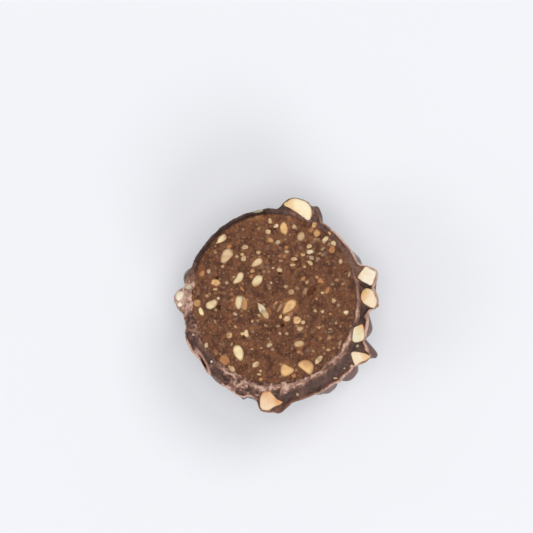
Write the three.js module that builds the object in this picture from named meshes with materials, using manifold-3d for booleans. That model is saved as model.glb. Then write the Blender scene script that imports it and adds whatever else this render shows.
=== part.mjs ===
// Half of a chocolate-dipped hazelnut energy ball, cut through its middle.
// It lies on its domed back on a small flat foot, with the cut face level and up.
// Millimetres, +Z up. The origin is the centre of the foot, under the middle of the cut face.
// Angles are degrees, anticlockwise from +X as seen from above.

import * as THREE from "three";
import { mergeVertices } from "three/addons/utils/BufferGeometryUtils.js";
import Module from "manifold-3d";

const wasm = await Module();
wasm.setup();

// Driving dimensions
const FILLING_RADIUS = 17; // the paste ball, 34 mm across
const FILLING_SQUASH = 0.015; // share that the hand-rolled ball is narrower along X and longer along Y
const COATING_THIN = 1.1; // chocolate where it ran off the ball
const POOL_THICKNESS = 2.9; // how much thicker it is where it ran down and pooled
const POOL_ANGLE = -73; // the side of the pool
const POOL_FALL = 1.8; // how fast the pool thins out round the ball
const FOOT_DEPTH = 18.3; // from the middle of the cut face down to the foot
const FIT_GAP = 0.3; // clearance between a piece and the hollow it sits in

// Hazelnut pieces in the coating
const NUT_COVER = 0.45; // chocolate round a piece
const NUT_DEPTH = 2.8; // how far a cut piece reaches down into the coating
const NUT_UNDERSIDE = [[0, 1], [0.55, 0.92], [0.9, 0.5]]; // shares of its outline and of its depth
const NUT_LUMP_DROP = 5; // from the cut face down to the middle of the lump round it, in degrees
const NUT_LUMP_SPREAD = 1.6; // how far that lump runs out past the ends of the piece

// Nut bits in the cut paste
const BIT_RELIEF = 0.25; // how far a bit stands out of the paste
const BIT_SUNK = 0.5; // how far it reaches into the paste
const BIT_SIDES = 7;
const BIT_TOP = 0.78; // width of its top as a share of its foot

// Fineness of the faceted surfaces
const COATING_COLUMNS = 100;
const COATING_ROWS = 28;
const FILLING_COLUMNS = 48;
const FILLING_ROWS = 12;
const MERGE_DISTANCE = 1e-4;
const BLOCK_SIZE = 4 * FILLING_RADIUS; // of the blocks that make the flat cuts

// Outlines of the cut hazelnut pieces: taper narrows the end that the length points to, bend arches it
const NUT_SHAPES = {
  crescent: { corners: 8, taper: -0.3, bend: 0.8 },
  square: { corners: 4, taper: 0.05, bend: 0 },
  egg: { corners: 10, taper: 0.12, bend: 0 },
  wedge: { corners: 5, taper: 0.2, bend: 0 },
  arrow: { corners: 5, taper: 0.6, bend: 0 },
  kite: { corners: 6, taper: 0.5, bend: 0 },
  crumb: { corners: 6, taper: 0.1, bend: 0 },
};

// Hazelnut pieces that the knife went through, set in the chocolate round the paste.
// angle and radius place the middle of the cut, turn is the way the length runs, and lump is how far the
// chocolate round the piece stands out of the coating.
const RIM_NUTS = [
  {
    name: "hazelnut_top", shape: "crescent",
    angle: 74.5, radius: 19.7, length: 7, width: 2.6, turn: -25, lump: 2.2,
  },
  {
    name: "hazelnut_right_high", shape: "square",
    angle: 14, radius: 19.7, length: 3.9, width: 3.9, turn: -22, lump: 1.8,
  },
  {
    name: "hazelnut_right_middle", shape: "egg",
    angle: -1.5, radius: 19.5, length: 4.1, width: 2.7, turn: -58, lump: 1.6,
  },
  {
    name: "hazelnut_right_low", shape: "wedge",
    angle: -22.3, radius: 18.9, length: 3.6, width: 2.3, turn: 80, lump: 0.6,
  },
  {
    name: "hazelnut_lower_right", shape: "arrow",
    angle: -34.5, radius: 20.9, length: 4.3, width: 3, turn: -8, lump: 2.1,
  },
  {
    name: "hazelnut_bottom", shape: "kite",
    angle: -92.7, radius: 20.4, length: 4.8, width: 3.8, turn: -14, lump: 1.8,
  },
  {
    name: "hazelnut_left", shape: "crumb",
    angle: 178.5, radius: 19.1, length: 2.7, width: 1.9, turn: 70, lump: 1.2,
  },
];

// Lumps of the coating beside the cut, over nut pieces that the knife missed.
// drop is the angle from the cut face down to the lump's middle.
const SHOULDER_LUMPS = [
  { angle: 64, drop: 6, height: 1.9, reach: 2.6 },
  { angle: -43.5, drop: 9, height: 2.2, reach: 2.7 },
  { angle: -58.5, drop: 10, height: 1.4, reach: 2.6 },
  { angle: -29, drop: 3, height: 3.7, reach: 2 }, // the horn beside the nut at the lower right
  { angle: -18, drop: 5, height: 1.3, reach: 3.2 },
  { angle: -87, drop: 2, height: 1.9, reach: 3 },
  { angle: -128, drop: 3, height: 0.7, reach: 3.4 },
  { angle: -152, drop: 2, height: 0.8, reach: 4.5 },
  { angle: 165, drop: 7, height: 1.3, reach: 2.8 },
];

// Lumps over the rest of the dome, laid out by a rule in which their kinds take turns.
// stretch draws a lump out one way and narrows it the other.
const DOME_LUMPS = 48;
const DOME_LUMP_DROPS = { least: 14, most: 68 }; // the rim has its own, and none is in the middle of the foot
const DOME_LUMP_KINDS = [
  { lowest: 1, highest: 1.5, shortest: 3.8, longest: 4.8, stretch: 1.1 },
  { lowest: 1, highest: 1.5, shortest: 2.1, longest: 2.7, stretch: 1.05 },
  { lowest: 1, highest: 1.4, shortest: 2.6, longest: 3.3, stretch: 1.35 },
  { lowest: 0.5, highest: 0.9, shortest: 1.5, longest: 1.9, stretch: 1.1 },
];
const DOME_LUMP_STEPS = { stray: 0.755, slip: 0.57, size: 0.618, turn: 0.382 }; // from each lump to the next
const DOME_LUMP_STRAY = 30; // range of the lumps' angles about the spiral
const DOME_LUMP_SLIP = 8; // range of their drops about it
const GOLDEN_ANGLE = 180 * (3 - Math.sqrt(5));
const LUMP_BLEND = 4; // how sharply lumps that overlap keep to the higher one

// The larger nut bits in the cut paste: middle x and y from the middle of the cut, length, width and turn
const NUT_BITS = [
  [-9.7, 8.6, 3.1, 1.9, 50],
  [-10.4, 11.8, 2.2, 1.1, 35],
  [-3.3, 7.3, 2.1, 1.3, 38],
  [-7.2, 4.1, 2.2, 1.2, 55],
  [-3.2, 3.5, 2.3, 1.6, 62],
  [-11.8, 3.3, 1.8, 1.3, -10],
  [-12.6, -1.1, 2.4, 1.4, 28],
  [-14.5, -2.7, 1.7, 0.9, -65],
  [-6.5, -0.7, 2.6, 1.8, 80],
  [-2.3, -2.5, 3.4, 1.2, -58],
  [3.2, -1.9, 3.5, 1.8, 55],
  [4.8, -4.4, 1.6, 1.6, 0],
  [2.1, 14.3, 2.4, 1.4, 90],
  [5.6, 12.6, 1.8, 1.6, 60],
  [10.3, 11.8, 1.6, 1.1, 50],
  [7.4, 9.6, 1.6, 1.0, 12],
  [4.1, 8.1, 1.4, 0.8, 0],
  [1.1, 6.0, 1.4, 0.9, -25],
  [-7.2, -10.8, 3.0, 2.0, -72],
  [-10.0, -12.2, 2.0, 1.8, 15],
  [-3.6, -13.2, 1.6, 1.0, 10],
  [2.8, -14.2, 2.6, 2.2, -25],
  [6.5, -13.8, 3.2, 2.5, -38],
  [5.2, -9.2, 2.2, 1.3, 5],
  [-5.6, -7.2, 1.6, 1.1, 80],
  [9.0, -12.2, 1.8, 1.2, 50],
];

// Finishes
const FILLING_FINISH = new THREE.MeshStandardMaterial({ color: 0x6e4a34, roughness: 0.6, metalness: 0 });
const COATING_FINISH = new THREE.MeshStandardMaterial({ color: 0x3b2721, roughness: 0.35, metalness: 0 });
const HAZELNUT_FINISH = new THREE.MeshStandardMaterial({ color: 0xf3dfb6, roughness: 0.55, metalness: 0 });

const radians = THREE.MathUtils.degToRad;
const degrees = THREE.MathUtils.radToDeg;

// Solids and geometries

// A closed geometry as a solid, with shared vertices merged and collapsed triangles dropped.
function solidOf(geometry) {
  const bare = new THREE.BufferGeometry();
  bare.setAttribute("position", geometry.getAttribute("position"));
  bare.setIndex(geometry.getIndex());
  const merged = mergeVertices(bare, MERGE_DISTANCE);
  const corners = merged.getIndex().array;
  const triangles = [];
  for (let i = 0; i < corners.length; i += 3) {
    const [a, b, c] = corners.slice(i, i + 3);
    if (a !== b && b !== c && c !== a) triangles.push(a, b, c);
  }
  return new wasm.Manifold(
    new wasm.Mesh({
      numProp: 3,
      vertProperties: merged.getAttribute("position").array,
      triVerts: new Uint32Array(triangles),
    }),
  );
}

// A solid as a geometry with flat facets.
function geometryOf(solid) {
  const mesh = solid.getMesh();
  const indexed = new THREE.BufferGeometry();
  indexed.setAttribute("position", new THREE.BufferAttribute(mesh.vertProperties, 3));
  indexed.setIndex(new THREE.BufferAttribute(mesh.triVerts, 1));
  const flat = indexed.toNonIndexed();
  flat.computeVertexNormals();
  return flat;
}

// A block larger than the ball, with its middle at a height, for flat cuts.
function blockAt(height) {
  return solidOf(new THREE.BoxGeometry(BLOCK_SIZE, BLOCK_SIZE, BLOCK_SIZE).translate(0, 0, height));
}

// The direction from the ball's middle at an angle round it and a drop below the cut face.
function directionAt(angle, drop) {
  const out = Math.cos(radians(drop));
  const down = Math.sin(radians(drop));
  return new THREE.Vector3(out * Math.cos(radians(angle)), out * Math.sin(radians(angle)), -down);
}

// The lower half of a ball whose surface lies at radiusAt(direction), with a plain cone above it that the
// knife takes away.
function ball(columns, rows, radiusAt) {
  const profile = [];
  for (let row = rows; row >= -1; row--) {
    const drop = (Math.PI / 2) * (row / rows);
    profile.push(new THREE.Vector2(Math.cos(drop), -Math.sin(drop)));
  }
  profile[0].x = 0;
  profile.push(new THREE.Vector2(0, 1));
  const geometry = new THREE.LatheGeometry(profile, columns).rotateX(Math.PI / 2);
  const position = geometry.getAttribute("position");
  const direction = new THREE.Vector3();
  for (let i = 0; i < position.count; i++) {
    direction.fromBufferAttribute(position, i).normalize();
    direction.multiplyScalar(radiusAt(direction));
    position.setXYZ(i, direction.x, direction.y, direction.z);
  }
  return solidOf(geometry);
}

const ABOVE_CUT = blockAt(BLOCK_SIZE / 2);
const BELOW_FOOT = blockAt(-FOOT_DEPTH - BLOCK_SIZE / 2);

// Paste filling

// The hand-rolled paste ball is a little longer along Y than along X.
function pasteRadius(direction) {
  return FILLING_RADIUS * (1 + FILLING_SQUASH * (direction.y ** 2 - direction.x ** 2));
}

// One nut bit: a flat-topped chip, part sunk in the cut paste.
function nutBit([x, y, length, width, turn]) {
  const chip = new THREE.CylinderGeometry(BIT_TOP / 2, 1 / 2, BIT_RELIEF + BIT_SUNK, BIT_SIDES);
  chip.rotateX(Math.PI / 2);
  chip.translate(0, 0, (BIT_RELIEF - BIT_SUNK) / 2);
  chip.scale(length, width, 1);
  chip.rotateZ(radians(turn));
  return solidOf(chip.translate(x, y, 0));
}

function makeFilling() {
  const paste = ball(FILLING_COLUMNS, FILLING_ROWS, pasteRadius).subtract(ABOVE_CUT);
  return NUT_BITS.reduce((filling, bit) => filling.add(nutBit(bit)), paste);
}

// Hazelnut pieces

// A hazelnut piece grown all round by a distance, flat on top at a level above the cut face.
// It is a faceted bowl with the piece's outline, drawn about its own middle with its length along X.
function nutSolid({ shape, angle, radius, length, width, turn }, grown, top) {
  const { corners, taper, bend } = NUT_SHAPES[shape];
  const depth = NUT_DEPTH + grown;
  const profile = NUT_UNDERSIDE.map(([out, down]) => new THREE.Vector2(out, -down * depth));
  profile.push(new THREE.Vector2(1, top), new THREE.Vector2(0, top));
  const geometry = new THREE.LatheGeometry(profile, corners, Math.PI / corners).rotateX(Math.PI / 2);
  const position = geometry.getAttribute("position");
  for (let i = 0; i < position.count; i++) {
    const along = position.getX(i);
    const across = position.getY(i) * (1 - taper * along);
    const arch = bend * (1 / 2 - along ** 2);
    position.setXY(i, along * (length / 2 + grown), across * (width / 2 + grown) + arch);
  }
  geometry.rotateZ(radians(turn));
  const middle = directionAt(angle, 0).multiplyScalar(radius);
  return solidOf(geometry.translate(middle.x, middle.y, 0));
}

// Chocolate coating

// The lump of chocolate round a hazelnut piece in the rim.
function nutLump({ angle, length, lump }) {
  return { angle, drop: NUT_LUMP_DROP, height: lump, reach: length / 2 + NUT_LUMP_SPREAD };
}

// The lumps of the dome: they stray a little from a golden-angle spiral, and steps through ranges size them.
function domeLumps() {
  const lumps = [];
  for (let i = 0; i < DOME_LUMPS; i++) {
    const { lowest, highest, shortest, longest, stretch } = DOME_LUMP_KINDS[i % DOME_LUMP_KINDS.length];
    const stepped = (name) => (i * DOME_LUMP_STEPS[name]) % 1;
    const angle = i * GOLDEN_ANGLE + DOME_LUMP_STRAY * (stepped("stray") - 1 / 2);
    const drop = degrees(Math.asin((i + 1 / 2) / DOME_LUMPS)) + DOME_LUMP_SLIP * (stepped("slip") - 1 / 2);
    if (drop < DOME_LUMP_DROPS.least || drop > DOME_LUMP_DROPS.most) continue;
    const height = lowest + (highest - lowest) * stepped("size");
    const reach = shortest + (longest - shortest) * stepped("turn");
    lumps.push({ angle, drop, height, reach, stretch, turn: 360 * stepped("turn") });
  }
  return lumps;
}

// A lump with the directions of its middle, of its length and of its width.
function placedLump({ angle, drop, height, reach, stretch = 1, turn = 0 }) {
  const middle = directionAt(angle, drop);
  const east = directionAt(angle + 90, 0);
  const down = east.clone().cross(middle);
  const along = east.clone().multiplyScalar(Math.cos(radians(turn)));
  along.addScaledVector(down, Math.sin(radians(turn)));
  const across = along.clone().cross(middle);
  return { height, middle, along, across, length: reach * stretch, width: reach / stretch };
}

const POOL_DIRECTION = directionAt(POOL_ANGLE, 0);
const LUMPS = [...RIM_NUTS.map(nutLump), ...SHOULDER_LUMPS, ...domeLumps()].map(placedLump);

// Height of a lump over the even coating: a smooth hump that falls to nothing at its reach.
function rise({ height, middle, along, across, length, width }, direction, even) {
  const away = Math.hypot(direction.dot(along) / length, direction.dot(across) / width) * even;
  return direction.dot(middle) > 0 && away < 1 ? height * (1 - away ** 2) ** 2 : 0;
}

// Distance from the ball's middle to the outside of the chocolate.
function coatingRadius(direction) {
  const pooled = ((1 + direction.dot(POOL_DIRECTION)) / 2) ** POOL_FALL;
  const even = pasteRadius(direction) + COATING_THIN + POOL_THICKNESS * pooled;
  const blended = LUMPS.reduce((sum, lump) => sum + rise(lump, direction, even) ** LUMP_BLEND, 0);
  return even + blended ** (1 / LUMP_BLEND);
}

function makeCoating() {
  const hollow = ball(FILLING_COLUMNS, FILLING_ROWS, (direction) => pasteRadius(direction) + FIT_GAP);
  const dome = ball(COATING_COLUMNS, COATING_ROWS, coatingRadius).subtract(ABOVE_CUT);
  const footed = dome.subtract(BELOW_FOOT);
  const jackets = RIM_NUTS.map((nut) => nutSolid(nut, FIT_GAP + NUT_COVER, 0));
  const pockets = RIM_NUTS.map((nut) => nutSolid(nut, FIT_GAP, FIT_GAP));
  const jacketed = jackets.reduce((shell, jacket) => shell.add(jacket), footed);
  return [hollow, ...pockets].reduce((shell, space) => shell.subtract(space), jacketed);
}

// Assembly

function part(name, solid, finish) {
  const mesh = new THREE.Mesh(geometryOf(solid), finish);
  mesh.name = name;
  return mesh;
}

const halfEnergyBall = new THREE.Group();
halfEnergyBall.position.z = FOOT_DEPTH;
halfEnergyBall.add(part("filling", makeFilling(), FILLING_FINISH));
halfEnergyBall.add(part("coating", makeCoating(), COATING_FINISH));
for (const nut of RIM_NUTS) halfEnergyBall.add(part(nut.name, nutSolid(nut, 0, 0), HAZELNUT_FINISH));

export default halfEnergyBall;
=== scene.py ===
"""Looks of half a chocolate-dipped hazelnut energy ball, lying on its back with the cut face up.

Sizes are millimetres and angles degrees, anticlockwise from +X as seen from above, unless a name says
otherwise. Places are measured from the middle of the cut face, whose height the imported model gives.
A span holds the value at which something starts and the one at which it is full. A size of noise is
the distance over which it changes, and a stray is how far something differs from its mean.
"""

import logging
import math
from dataclasses import dataclass, field, fields
from enum import Enum, IntEnum
from functools import cached_property

import bpy
import numpy as np
from mathutils import Matrix, Vector, noise


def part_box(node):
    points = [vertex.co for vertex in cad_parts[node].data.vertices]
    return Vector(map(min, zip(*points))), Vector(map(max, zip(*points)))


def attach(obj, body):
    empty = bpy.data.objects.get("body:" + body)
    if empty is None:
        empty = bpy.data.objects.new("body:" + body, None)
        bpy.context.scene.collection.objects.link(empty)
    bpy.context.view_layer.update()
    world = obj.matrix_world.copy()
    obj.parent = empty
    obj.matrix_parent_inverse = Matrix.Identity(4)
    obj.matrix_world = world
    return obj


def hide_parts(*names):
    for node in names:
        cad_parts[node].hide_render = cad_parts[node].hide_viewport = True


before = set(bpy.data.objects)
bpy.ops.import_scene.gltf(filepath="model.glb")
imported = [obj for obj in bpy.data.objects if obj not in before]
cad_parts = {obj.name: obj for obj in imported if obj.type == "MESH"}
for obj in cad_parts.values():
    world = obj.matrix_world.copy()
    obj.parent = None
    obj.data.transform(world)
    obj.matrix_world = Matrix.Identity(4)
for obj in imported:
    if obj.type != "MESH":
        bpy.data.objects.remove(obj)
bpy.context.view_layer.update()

LOG = logging.getLogger("energy_ball")
MM = 0.001
CUT_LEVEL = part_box("coating")[1].z / MM
SEED_STEP = 31.7
FULL_TURN = 360.0
HALF_TURN = 180.0
POLE = 90.0

Array = np.ndarray
Colour = tuple[float, float, float, float]
Faces = list[list[int]]
Inputs = dict[str | int, object]
Point = tuple[float, float]
Triple = tuple[float, float, float]
Socket = bpy.types.NodeSocket
Outputs = bpy.types.NodeOutputs
Material = bpy.types.Material


class Slot(Enum):
    """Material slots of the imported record."""

    FILLING = "filling"
    COATING = "coating"
    HAZELNUT = "hazelnut"


class Seed(IntEnum):
    """Stretches of noise, one for each use, so that no two patterns are alike."""

    RIM_NUTS = 0
    PASTE_WAVE = 1
    PASTE_GRAIN = 2
    PASTE_FINE = 3
    PASTE_HOLE = 4
    PASTE_GLOW = 9
    EDGE_CHIP = 20
    DOME_RIPPLE = 21
    DOME_FINE = 22
    EDGE_RAG = 23
    EDGE_TOOTH = 24
    DOME_WAVE = 25
    DOME_PAINTED_SHEEN = 26
    RIM_OVERLAP = 31
    RIM_COARSE = 32
    RIM_FINE = 33
    RIM_RIDGE = 34
    RIM_STREAK = 36
    RIM_FLAKE = 37
    RIM_BREAK = 38
    RIM_VEIN = 39
    GRAIN_CLUSTER = 41
    FLECK_CLUSTER = 51
    LUMP_WARP = 61
    RIM_CRUMBS = 200


def srgb(red: int, green: int, blue: int) -> Colour:
    """Turns a colour as seen on a screen into a linear one, by the sRGB curve.

    Args:
        red, green, blue: Channels from 0 to 255.

    Returns:
        The linear colour with full alpha.
    """
    channels = np.array((red, green, blue)) / 255
    linear = np.where(channels <= 0.04045, channels / 12.92, ((channels + 0.055) / 1.055) ** 2.4)
    return (*linear.tolist(), 1.0)


class Tone(Enum):
    """Colours of the hazelnut, from its fresh cut to roasted and paste-smeared bits."""

    MILK = srgb(255, 236, 198)
    WHITE = srgb(248, 236, 214)
    IVORY = srgb(247, 225, 193)
    CREAM = srgb(244, 218, 170)
    SAND = srgb(222, 190, 146)
    DULL = srgb(206, 172, 126)
    GREY = srgb(190, 164, 130)
    HAZE = srgb(160, 128, 98)
    ASH = srgb(208, 192, 168)
    SAGE = srgb(160, 154, 128)
    TAN = srgb(236, 188, 126)
    ORANGE = srgb(204, 150, 96)
    AMBER = srgb(180, 118, 64)
    PASTE = srgb(120, 80, 56)
    PEACH = srgb(243, 212, 176)
    ROAST = srgb(228, 168, 106)
    BONE = srgb(236, 226, 196)
    SKIN = srgb(170, 112, 72)

    @property
    def colour(self) -> Array:
        """The colour as an array."""
        return np.array(self.value)


def ease(low: float | Array, high: float | Array, value: Array) -> Array:
    """Smooth step from 0 at low to 1 at high, which may also lie below low."""
    share = np.clip((value - low) / (high - low), 0, 1)
    return share * share * (3 - 2 * share)


def bell(value: Array, width: float | Array) -> Array:
    """Round hump of height 1 about 0 that fades over a width."""
    return np.exp(-((value / width) ** 2))


def blend(first: Array, second: Array, share: Array) -> Array:
    """Mixes two colours, or colours at points, by a share at each point."""
    return first * (1 - share[:, None]) + second * share[:, None]


def apart(angle: Array, other: Array | float) -> Array:
    """Signed turn from one angle to another, half a turn at most."""
    return (angle - other + HALF_TURN) % FULL_TURN - HALF_TURN


def heading(turn: float) -> Point:
    """Cosine and sine of a turn."""
    return math.cos(math.radians(turn)), math.sin(math.radians(turn))


def round_angles(count: int) -> Array:
    """Even angles once round the ball."""
    return np.linspace(-HALF_TURN, HALF_TURN, count, endpoint=False)


def swirl(points: Array, size: float, seed: int) -> Array:
    """Smooth noise from -1 to 1 at an array of points; each seed picks another stretch of it."""
    flat = (points / size + SEED_STEP * seed).reshape(-1, 3).tolist()
    return np.array([noise.noise(place) for place in flat]).reshape(points.shape[:-1])


def swirl_vectors(points: Array, size: float, seed: int) -> Array:
    """Smooth noise along each of the three axes, from three seeds in a row."""
    return np.stack([swirl(points, size, seed + axis) for axis in range(3)], axis=-1)


@dataclass(frozen=True)
class Wave:
    """Noise of one kind: its strength, the distance over which it changes, and its seed."""

    strength: float
    size: float
    seed: Seed

    def at(self, points: Array) -> Array:
        """Its values at points."""
        return self.strength * swirl(points, self.size, self.seed)


@dataclass(frozen=True)
class Line:
    """A straight line: its value at 0 and its rise from there to 1."""

    start: float
    rise: float

    def at(self, value: Array) -> Array:
        """Its values."""
        return self.start + self.rise * value


def directions(angle: Array | float, drop: Array | float) -> Array:
    """Unit vectors from the middle of the cut face, by angles round the ball and below the face."""
    turn, fall = np.broadcast_arrays(np.radians(angle), np.radians(drop))
    return np.stack((np.cos(fall) * np.cos(turn), np.cos(fall) * np.sin(turn), -np.sin(fall)), axis=-1)


def numbered(rows: int, columns: int) -> Array:
    """Numbers of the points of a grid, row by row."""
    return np.arange(rows * columns).reshape(rows, columns)


def sides(loop: Array) -> list[tuple[int, int]]:
    """Pairs of neighbours round a loop of point numbers."""
    return list(zip(loop.tolist(), np.roll(loop, -1).tolist()))


def sheet_faces(index: Array) -> Faces:
    """Faces of an open sheet of point numbers."""
    corners = np.stack((index[:-1, :-1], index[:-1, 1:], index[1:, 1:], index[1:, :-1]), -1)
    return corners.reshape(-1, 4).tolist()


def ring_faces(index: Array) -> Faces:
    """Faces between rows of point numbers that each close to a ring."""
    after = np.roll(index, -1, axis=1)
    return np.stack((index[:-1], after[:-1], after[1:], index[1:]), -1).reshape(-1, 4).tolist()


@dataclass
class Surface:
    """Points, faces and per-point values of a mesh in the making."""

    points: Array
    faces: Faces
    values: dict[str, Array] = field(default_factory=dict)
    colours: dict[str, Array] = field(default_factory=dict)

    @classmethod
    def loft(cls, rings: Array, start: Array, end: Array) -> "Surface":
        """Closes a stack of rings with a point at each end.

        Args:
            rings: Array of rows, columns and coordinates.
            start: Point before the first ring.
            end: Point after the last ring.

        Returns:
            The closed surface, with the rings' points first, then start and end.
        """
        index = numbered(*rings.shape[:2])
        first, last = index.size, index.size + 1
        faces = ring_faces(index)
        faces += [[first, after, here] for here, after in sides(index[0])]
        faces += [[last, here, after] for here, after in sides(index[-1])]
        return cls(np.vstack((rings.reshape(-1, 3), start, end)), faces)

    @classmethod
    def joined(cls, parts: list["Surface"]) -> "Surface":
        """Puts tinted surfaces together.

        Args:
            parts: The surfaces.

        Returns:
            All of them as one.
        """
        faces = []
        shift = 0
        for part in parts:
            faces += [[corner + shift for corner in face] for face in part.faces]
            shift += len(part.points)
        tints = np.vstack([part.colours["tint"] for part in parts])
        return cls(np.vstack([part.points for part in parts]), faces, colours={"tint": tints})

    def to_object(self, name: str, material: Material) -> bpy.types.Object:
        """Makes a smooth mesh object in metres, lifted to the cut face's height.

        Args:
            name: Name of the piece.
            material: Its finish.

        Returns:
            The object, linked to the scene.
        """
        mesh = bpy.data.meshes.new(name)
        mesh.from_pydata(((self.points + (0, 0, CUT_LEVEL)) * MM).tolist(), [], self.faces)
        for key, value in self.values.items():
            attribute = mesh.attributes.new(key, "FLOAT", "POINT")
            attribute.data.foreach_set("value", value.astype(np.float32))
        for key, value in self.colours.items():
            attribute = mesh.attributes.new(key, "FLOAT_COLOR", "POINT")
            attribute.data.foreach_set("color", value.astype(np.float32).ravel())
        mesh.materials.append(material)
        mesh.shade_smooth()
        piece = bpy.data.objects.new(name, mesh)
        bpy.context.scene.collection.objects.link(piece)
        return piece


def seat(piece: bpy.types.Object, slot: Slot, *nodes: str) -> None:
    """Lets a piece ride on the ball and stand for CAD nodes, and logs it under them or its slot.

    Args:
        piece: The finished object.
        slot: Material slot that it belongs to.
        nodes: CAD nodes that it replaces.
    """
    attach(piece, "root")
    if nodes:
        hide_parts(*nodes)
    LOG.info("%s: %d faces, %s", piece.name, len(piece.data.polygons), ", ".join(nodes) or slot.value)


@dataclass(frozen=True)
class Specks:
    """Soft round specks: largest radius, share of the cells that hold one, and how far they cover."""

    colour: Colour
    spacing: float
    radius: float
    share: float
    strength: float


class Nodes:
    """A node tree under construction."""

    def __init__(self, tree: bpy.types.NodeTree) -> None:
        """Takes the tree."""
        self.tree = tree

    def add(self, kind: str, inputs: Inputs, **options: str) -> Outputs:
        """Adds a node.

        Args:
            kind: Type of the node.
            inputs: Outputs to link to its inputs, or their values, by name or number.
            options: Its options.

        Returns:
            Its outputs.
        """
        node = self.tree.nodes.new(kind)
        for key, value in options.items():
            setattr(node, key, value)
        for key, value in inputs.items():
            if isinstance(value, Socket):
                self.tree.links.new(value, node.inputs[key])
            else:
                node.inputs[key].default_value = value
        return node.outputs


class Shader(Nodes):
    """A principled material under construction, on the piece's own coordinates."""

    SPECK_STEP = 0.02
    SPECK_FADE = 0.8
    MIX_FIRST = 6
    MIX_SECOND = 7
    MIX_RESULT = 2

    def __init__(self, name: str, **settings: float | Colour | Triple) -> None:
        """Starts a material.

        Args:
            name: Name of the material.
            settings: Values of the surface shader's sockets, with _ for spaces in their names.
        """
        self.material = bpy.data.materials.new(name)
        self.material.use_nodes = True
        super().__init__(self.material.node_tree)
        self.surface = self.tree.nodes["Principled BSDF"]
        for key, value in settings.items():
            self.surface.inputs[key.replace("_", " ")].default_value = value
        self.place = self.add("ShaderNodeTexCoord", {})["Object"]

    def noise(self, size: float, detail: float = 3.0) -> Socket:
        """Soft noise from 0 to 1, with finer noise in octaves of detail."""
        inputs = {"Vector": self.place, "Scale": 1 / (size * MM), "Detail": detail}
        return self.add("ShaderNodeTexNoise", inputs)["Fac"]

    def specks(self, kind: Specks) -> Socket:
        """Mask of soft round specks.

        Args:
            kind: Their sizes and share.

        Returns:
            The mask, from 0 to the specks' strength.
        """
        inputs = {"Vector": self.place, "Scale": 1 / (kind.spacing * MM)}
        cells = self.add("ShaderNodeTexVoronoi", inputs, voronoi_dimensions="2D")
        chance = self.add("ShaderNodeSeparateColor", {"Color": cells["Color"]})
        held = self.span(chance["Red"], kind.share, kind.share - self.SPECK_STEP)
        largest = kind.radius / kind.spacing
        reach = self.math("MULTIPLY", chance["Green"], largest)
        near = self.math("SUBTRACT", reach, cells["Distance"])
        mask = self.math("MULTIPLY", self.span(near, 0.0, self.SPECK_FADE * largest), held)
        return self.math("MULTIPLY", mask, kind.strength)

    def attribute(self, name: str, output: str = "Fac") -> Socket:
        """Reads a number, or the output "Color", that is stored on the mesh."""
        return self.add("ShaderNodeAttribute", {}, attribute_name=name)[output]

    def span(self, value: Socket, low: float, high: float, most: float = 1.0) -> Socket:
        """Smooth step from 0 at low to most at high."""
        inputs = {"Value": value, "From Min": low, "From Max": high, "To Max": most}
        return self.add("ShaderNodeMapRange", inputs, interpolation_type="SMOOTHSTEP")["Result"]

    def scale(self, value: Socket, low: float, high: float) -> Socket:
        """Straight line from low at 0 to high at 1."""
        return self.add("ShaderNodeMapRange", {"Value": value, "To Min": low, "To Max": high})["Result"]

    def math(self, operation: str, first: Socket, second: "Socket | float") -> Socket:
        """Joins two numbers by a named operation."""
        return self.add("ShaderNodeMath", {0: first, 1: second}, operation=operation)["Value"]

    def mix(self, share: Socket, first: "Socket | Colour", second: "Socket | Colour") -> Socket:
        """Blends from the first colour to the second."""
        inputs = {"Factor": share, self.MIX_FIRST: first, self.MIX_SECOND: second}
        return self.add("ShaderNodeMix", inputs, data_type="RGBA")[self.MIX_RESULT]

    def shaded(self, colour: Socket, light: Socket) -> Socket:
        """Multiplies a colour by a brightness."""
        return self.add("ShaderNodeVectorMath", {0: colour, "Scale": light}, operation="SCALE")["Vector"]

    def bump(self, height: Socket, depth: float) -> None:
        """Adds fine relief of a depth to the surface's normal."""
        relief = self.add("ShaderNodeBump", {"Distance": depth * MM, "Height": height})
        self.join(relief["Normal"], "Normal")

    def join(self, value: Socket, name: str) -> None:
        """Links a result to one of the surface shader's sockets."""
        self.tree.links.new(value, self.surface.inputs[name])


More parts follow.
